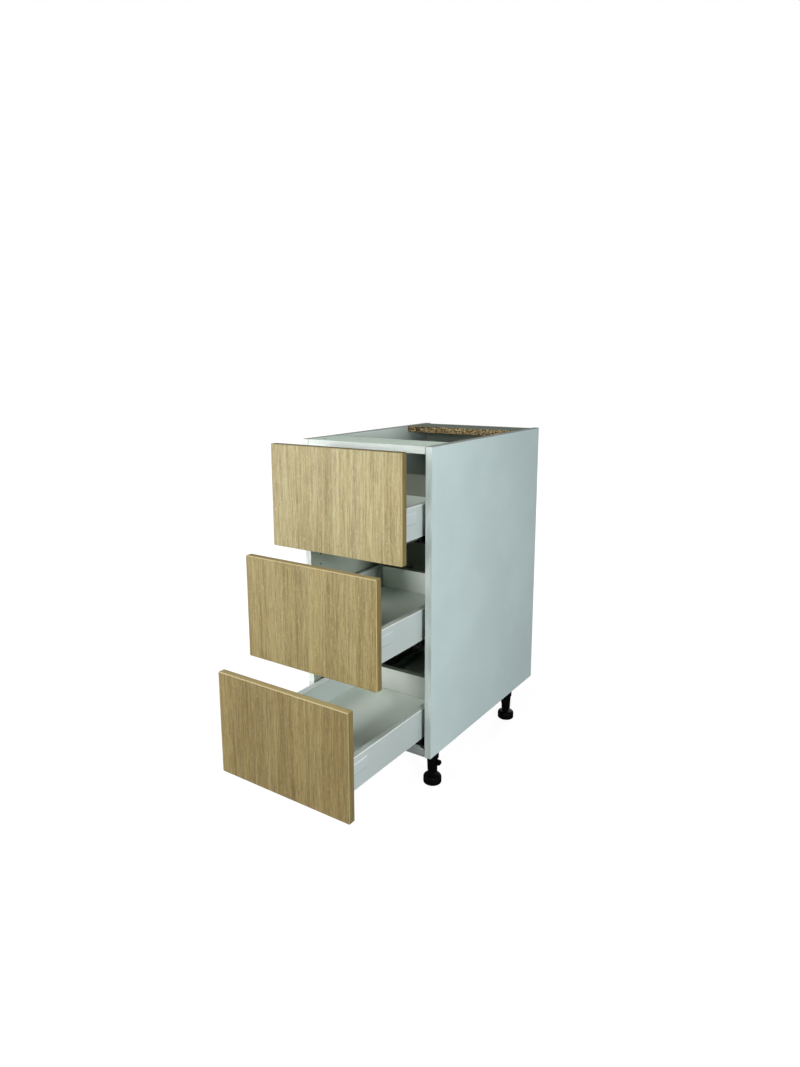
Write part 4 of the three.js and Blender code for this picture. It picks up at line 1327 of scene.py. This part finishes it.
class MakeLegs(bpy.types.Operator):
    """Makes the four legs and their threaded feet"""

    bl_idname = "cabinet.make_legs"
    bl_label = "Legs"

    def execute(self, context):
        sizes = chosen("legs")
        plastic = plastic_finish("leg_plastic", palette().leg, 0.62, 1300, 0.08)
        for row in ROWS:
            for hand, side in HANDS.items():
                self.make_body(f"leg_{row}_{hand}", row, side, sizes, plastic)
                self.make_foot(f"foot_{row}_{hand}", sizes, plastic)
        return {"FINISHED"}

    def make_body(self, node, row, side, sizes, plastic):
        """A plate, a turned sleeve and tube with their bore, four gussets and a lug."""
        foot_middle = middle_of(node.replace("leg", "foot"))
        low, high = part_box(node)
        x, y, top = foot_middle.x, foot_middle.y, high.z
        half = (high.y - low.y if row == "front" else high.x - low.x) / 2
        under = top - sizes.plate
        ends = (x - half, y - half, under), (x + half, y + half, top)
        plate = slab(*ends, "z", sizes.plate_corner, sizes.plate_arris)
        sleeve_low = under - sizes.sleeve_length
        tube_end = sizes.tube_radius - sizes.tube_taper
        bore = sizes.stem_radius + sizes.stem_play
        ring = sizes.ring
        profile = [
            (sizes.sleeve_radius + 2 * ring, under + ring),
            (sizes.sleeve_radius + 2 * ring, under),
            (sizes.sleeve_radius + ring / 2, under - ring),
            (sizes.sleeve_radius, under - 3 * ring),
            (sizes.sleeve_radius, sleeve_low + 2 * ring),
            (sizes.sleeve_radius - ring / 3, sleeve_low + ring / 2),
            (sizes.sleeve_radius - ring, sleeve_low),
            (sizes.tube_radius + ring / 4, sleeve_low - ring / 2),
            (sizes.tube_radius, sleeve_low - 2 * ring),
            (tube_end, sizes.tube_clearance + 2 * ring),
            (tube_end - ring / 3, sizes.tube_clearance + ring / 2),
            (tube_end - ring, sizes.tube_clearance),
            (bore + ring / 2, sizes.tube_clearance),
            (bore, sizes.tube_clearance + ring),
            (bore, sizes.tube_clearance + sizes.bore_depth),
        ]
        barrel = ringed(turned(profile, (x, y, 0), 56))
        gussets = [self.gusset((x, y), under, eighth * math.pi / 4, sizes) for eighth in (1, 3, 5, 7)]
        facing = (side, 0) if row == "front" else (0, -1)
        shells = [plate, barrel, *gussets, self.lug((x, y), facing, sizes)]
        make_piece(f"{node}_body", shells, "carcass", [plastic], [node])

    @staticmethod
    def gusset(centre, under, turn, sizes):
        """A corner plate: its outline of distance out and height, held at both faces of its thickness."""
        near = sizes.sleeve_radius - sizes.gusset_root
        outline = np.array([
            (near, under - sizes.gusset_height),
            (near + sizes.gusset_end, under - sizes.gusset_height),
            (sizes.sleeve_radius + 0.55 * sizes.gusset_reach, under - 0.4 * sizes.gusset_height),
            (sizes.sleeve_radius + sizes.gusset_reach, under + sizes.plate / 2),
            (near, under + sizes.plate / 2),
        ])
        out, up = np.array([math.cos(turn), math.sin(turn), 0]), np.array([0, 0, 1])
        aside = np.array([-math.sin(turn), math.cos(turn), 0]) * sizes.gusset_thickness / 2
        line = outline[:, :1] * out + outline[:, 1:] * up + np.array([*centre, 0])
        return ringed(np.stack([line - aside, line + aside]))

    @staticmethod
    def lug(centre, facing, sizes):
        """A block with rounded corners that stands out of the tube on one side."""
        out = np.array([*facing, 0])
        aside = np.array([-facing[1], facing[0], 0]) * sizes.lug_width / 2
        lower = np.array([*centre, sizes.lug_level]) + out * (sizes.tube_radius - sizes.lug_root)
        upper = lower + out * (sizes.lug_reach + sizes.lug_root) + np.array([0, 0, sizes.lug_height])
        corners = np.stack([lower - aside, lower + aside, upper - aside, upper + aside])
        axis = "y" if facing[0] else "x"
        return slab(corners.min(axis=0), corners.max(axis=0), axis, sizes.lug_height / 3, sizes.lug_arris)

    def make_foot(self, node, sizes, plastic):
        """A turned pad with grip ribs, and a stem whose radius follows a thread.

        The thread's depth at a point is a triangle wave of its height over the pitch, less its share of a
        turn.
        """
        middle = middle_of(node)
        low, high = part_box(node)
        radius = (high.x - low.x) / 2
        edge, shoulder, height = sizes.foot_edge, sizes.foot_shoulder, sizes.foot_height
        turn = np.linspace(0, math.pi / 2, 7)
        lower = np.stack([radius - edge + edge * np.sin(turn), edge - edge * np.cos(turn)], axis=1)
        grip = [(radius, share * height) for share in (0.3, 0.5)]
        rounded = np.stack([np.cos(turn), np.sin(turn)], axis=1)
        upper = np.array([radius - shoulder, height - shoulder]) + shoulder * rounded
        neck = [(sizes.stem_radius + sizes.foot_neck, height), (sizes.stem_radius, height + sizes.foot_neck)]
        slope = sizes.stem_tip
        start, stop = height + sizes.thread_start, height + sizes.stem_length
        rise = np.linspace(start, stop - 1.5 * slope, int((stop - start) / (sizes.thread_pitch / 8)))
        stem = np.stack([np.full(len(rise), sizes.stem_radius), rise], axis=1)
        core = sizes.stem_radius - sizes.thread_depth
        tip = [(core, stop - slope), (sizes.stem_radius - 2 * slope, stop)]
        profile = np.concatenate([lower, grip, upper, neck, stem, tip])

        def change(angle, z):
            wave = (z / sizes.thread_pitch - angle / (2 * math.pi)) % 1
            on_stem = smooth(z, start, start + slope) * (1 - smooth(z, stop - 2.5 * slope, stop - slope))
            thread = 1 - on_stem * sizes.thread_depth / sizes.stem_radius * 2 * np.abs(wave - 0.5)
            on_rim = smooth(z, 0.2 * height, 0.26 * height) * (1 - smooth(z, 0.55 * height, 0.6 * height))
            grip = 1 - on_rim * sizes.grip_depth / radius * (0.5 - 0.5 * np.cos(sizes.grip_ribs * angle))
            return thread * grip

        rings = turned(profile, (middle.x, middle.y, low.z), 144, change)
        make_piece(f"{node}_pad", [ringed(rings)], node, [plastic], [node])


class MakeFasteners(bpy.types.Operator):
    """Makes the connector cams and the screws of the legs, runners and tabs"""

    bl_idname = "cabinet.make_fasteners"
    bl_label = "Fasteners"

    def execute(self, context):
        self.sizes = chosen("fasteners")
        self.zinc = zinc_finish()
        self.make_cams()
        self.make_leg_screws(chosen("legs").plate)
        for level in LEVELS:
            for hand, side in HANDS.items():
                self.make_runner_screws(hand, side, level, chosen("runners").steel)
                self.make_tab_screws(hand, side, level, chosen("drawer_sides"))
        return {"FINISHED"}

    def screw(self, centre, axis, side):
        sizes = self.sizes
        return crossed_head(sizes.screw_radius, sizes.screw_height, sizes.cross_width, centre, axis, side)

    def fasten(self, name, shells, body="carcass"):
        make_piece(name, shells, body, [self.zinc])

    def make_cams(self):
        """Cams in the upper face of the rails and the lower face of the bottom panel."""
        sizes = self.sizes
        for board, upward in (("front_rail", 1), ("rear_rail", 1), ("bottom_panel", -1)):
            low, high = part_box(board)
            near, far = low.y + sizes.cam_from_edge, high.y - sizes.cam_from_edge
            rows = {"front_rail": [near], "rear_rail": [far], "bottom_panel": [near, far]}[board]
            level = high.z - sizes.cam_sink if upward > 0 else low.z + sizes.cam_sink
            ends = (low.x + sizes.cam_from_end, high.x - sizes.cam_from_end)
            centres = [(x, y, level) for x in ends for y in rows]
            cams = [cam_disc(sizes.cam_radius, sizes.cam_height, centre, "z", upward) for centre in centres]
            self.fasten(f"{board}_cams", cams)

    def make_leg_screws(self, plate):
        """Four screws in each leg's plate, at the same inset from its corners."""
        for row in ROWS:
            for hand in HANDS:
                low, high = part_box(f"leg_{row}_{hand}")
                middle = middle_of(f"foot_{row}_{hand}")
                half = (high.y - low.y if row == "front" else high.x - low.x) / 2
                reach = half - self.sizes.leg_screw_inset
                heads = [
                    self.screw((middle.x + dx * reach, middle.y + dy * reach, high.z - plate), "z", -1)
                    for dx in (-1, 1)
                    for dy in (-1, 1)
                ]
                self.fasten(f"leg_{row}_{hand}_screws", heads)

    def make_runner_screws(self, hand, side, level, steel):
        """Two screws through the cabinet member's flange."""
        low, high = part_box(f"cabinet_runner_{hand}_{level}")
        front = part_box(f"side_{hand}")[0].y
        face = side * (max(abs(low.x), abs(high.x)) - steel)
        height = high.z - self.sizes.fixing_drop
        places = [front + self.sizes.fixing_setback + step * self.sizes.fixing_span for step in (0, 1)]
        heads = [self.screw((face, y, height), "x", -side) for y in places]
        self.fasten(f"cabinet_runner_{hand}_{level}_screws", heads)

    def make_tab_screws(self, hand, side, level, sides):
        """Two screws through the drawer side's tab into the back board."""
        low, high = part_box(f"drawer_side_{hand}_{level}")
        face = high.y - sides.tab_setback + sides.tab_thickness
        outer = max(abs(low.x), abs(high.x))
        x = side * (outer - sides.foot_width - sides.tab_reach / 2)
        rises = (self.sizes.low_tab_screw, self.sizes.high_tab_screw)
        heads = [self.screw((x, face, low.z + rise), "y", 1) for rise in rises]
        self.fasten(f"drawer_side_{hand}_{level}_screws", heads, f"drawer_{level}")


class SetStage(bpy.types.Operator):
    """Makes the floor, the camera, the lamps and the white surroundings"""

    bl_idname = "cabinet.set_stage"
    bl_label = "Stage"

    def execute(self, context):
        stage = chosen("stage")
        self.make_floor(stage)
        self.make_camera(context.scene, stage)
        self.make_lamps(stage)
        self.make_surroundings(context.scene, stage)
        context.scene.view_settings.view_transform = "Standard"
        return {"FINISHED"}

    @staticmethod
    def make_floor(stage):
        """A thin round plate whose upper face lies just under the feet."""
        levels = (-stage.floor_drop, -stage.floor_drop - stage.floor_thickness)
        shell = ringed(turned([(stage.floor_radius, z) for z in levels], (0, 0, 0), 96))
        mesh = bpy.data.meshes.new("floor")
        faces = shell.quads.tolist() + [cap.tolist() for cap in shell.caps]
        mesh.from_pydata(shell.points.tolist(), [], faces)
        mesh.materials.append(floor_finish(stage))
        floor = bpy.data.objects.new("floor", mesh)
        bpy.context.scene.collection.objects.link(floor)

    @staticmethod
    def make_camera(scene, stage):
        """A camera turned by yaw, pitch and roll, with the lens and shift of the measured pinhole."""
        yaw, pitch, roll = stage.yaw, stage.pitch, stage.roll
        ahead = Vector((math.sin(yaw) * math.cos(pitch), math.cos(yaw) * math.cos(pitch), math.sin(pitch)))
        level_right = Vector((math.cos(yaw), -math.sin(yaw), 0))
        level_up = level_right.cross(ahead)
        right = math.cos(roll) * level_right + math.sin(roll) * level_up
        up = math.cos(roll) * level_up - math.sin(roll) * level_right
        lens = bpy.data.cameras.new("camera")
        long_side = max(stage.picture_width, stage.picture_height)
        lens.sensor_width = 36
        lens.lens = stage.focal_pixels * lens.sensor_width / long_side
        lens.shift_x = (stage.picture_width / 2 - stage.centre_x) / long_side
        lens.shift_y = (stage.centre_y - stage.picture_height / 2) / long_side
        lens.clip_start, lens.clip_end = 0.01, 100
        camera = bpy.data.objects.new("camera", lens)
        turn = Matrix((right, up, -ahead)).transposed().to_4x4()
        camera.matrix_world = Matrix.Translation(stage.camera_place) @ turn
        scene.collection.objects.link(camera)
        scene.camera = camera

    @staticmethod
    def make_lamps(stage):
        """Soft square lamps, each turned to the cabinet's middle."""
        for name in LAMPS:
            light = bpy.data.lights.new(f"{name}_lamp", "AREA")
            light.energy, light.size = getattr(stage, name), getattr(stage, f"{name}_size")
            lamp = bpy.data.objects.new(f"{name}_lamp", light)
            lamp.location = getattr(stage, f"{name}_place")
            aim = Vector(stage.lamp_target) - lamp.location
            lamp.rotation_euler = aim.to_track_quat("-Z", "Y").to_euler()
            bpy.context.scene.collection.objects.link(lamp)

    @staticmethod
    def make_surroundings(scene, stage):
        """White to the camera, dimmer to glossy faces, and a faint sky to everything else."""
        world = bpy.data.worlds.new("surroundings")
        scene.world = world
        tree = Tree(world)
        seen = tree.node("ShaderNodeLightPath", output="Is Camera Ray")
        mirrored = tree.node("ShaderNodeLightPath", output="Is Glossy Ray")
        through = tree.node("ShaderNodeLightPath", output="Is Transmission Ray")
        direct = tree.between(seen + through, 0.4, 0.6)
        strength = stage.sky + (1 - stage.sky) * direct + (stage.mirrored_sky - stage.sky) * mirrored
        white = tree.node("ShaderNodeBackground", None, {"Color": (1, 1, 1, 1), "Strength": strength})
        tree.node("ShaderNodeOutputWorld", None, {"Surface": white})


class CabinetPanel(bpy.types.Panel):
    """Lists the cabinet's operators and the sizes and colours that they use"""

    bl_idname = "VIEW3D_PT_cabinet"
    bl_label = "Base cabinet"
    bl_space_type = "VIEW_3D"
    bl_region_type = "UI"
    bl_category = "Cabinet"

    def draw(self, context):
        for operator in OPERATORS:
            self.layout.operator(operator.bl_idname)
        for name, group in GROUPS.items():
            box = self.layout.box()
            box.label(text=group.__doc__)
            for field in group.__annotations__:
                box.prop(getattr(context.scene, name), field)


GROUPS = {
    "cabinet_boards": CabinetBoards,
    "cabinet_drawer_sides": CabinetDrawerSides,
    "cabinet_runners": CabinetRunners,
    "cabinet_legs": CabinetLegs,
    "cabinet_fasteners": CabinetFasteners,
    "cabinet_colours": CabinetColours,
    "cabinet_stage": CabinetStage,
}

OPERATORS = (
    SetStage,
    DressCarcass,
    MakeFronts,
    MakeDrawerSides,
    DressDrawerBoxes,
    MakeRunners,
    MakeLegs,
    MakeFasteners,
)


def register():
    for name, group in GROUPS.items():
        bpy.utils.register_class(group)
        setattr(bpy.types.Scene, name, PointerProperty(type=group))
    for operator in OPERATORS:
        bpy.utils.register_class(operator)
    bpy.utils.register_class(CabinetPanel)


def unregister():
    bpy.utils.unregister_class(CabinetPanel)
    for operator in reversed(OPERATORS):
        bpy.utils.unregister_class(operator)
    for name, group in reversed(GROUPS.items()):
        delattr(bpy.types.Scene, name)
        bpy.utils.unregister_class(group)


def main():
    """Makes everything in order."""
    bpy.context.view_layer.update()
    register()
    bpy.ops.cabinet.set_stage()
    bpy.ops.cabinet.dress_carcass()
    bpy.ops.cabinet.make_fronts()
    bpy.ops.cabinet.make_drawer_sides()
    bpy.ops.cabinet.dress_drawer_boxes()
    bpy.ops.cabinet.make_runners()
    bpy.ops.cabinet.make_legs()
    bpy.ops.cabinet.make_fasteners()


if __name__ == "__main__":
    main()
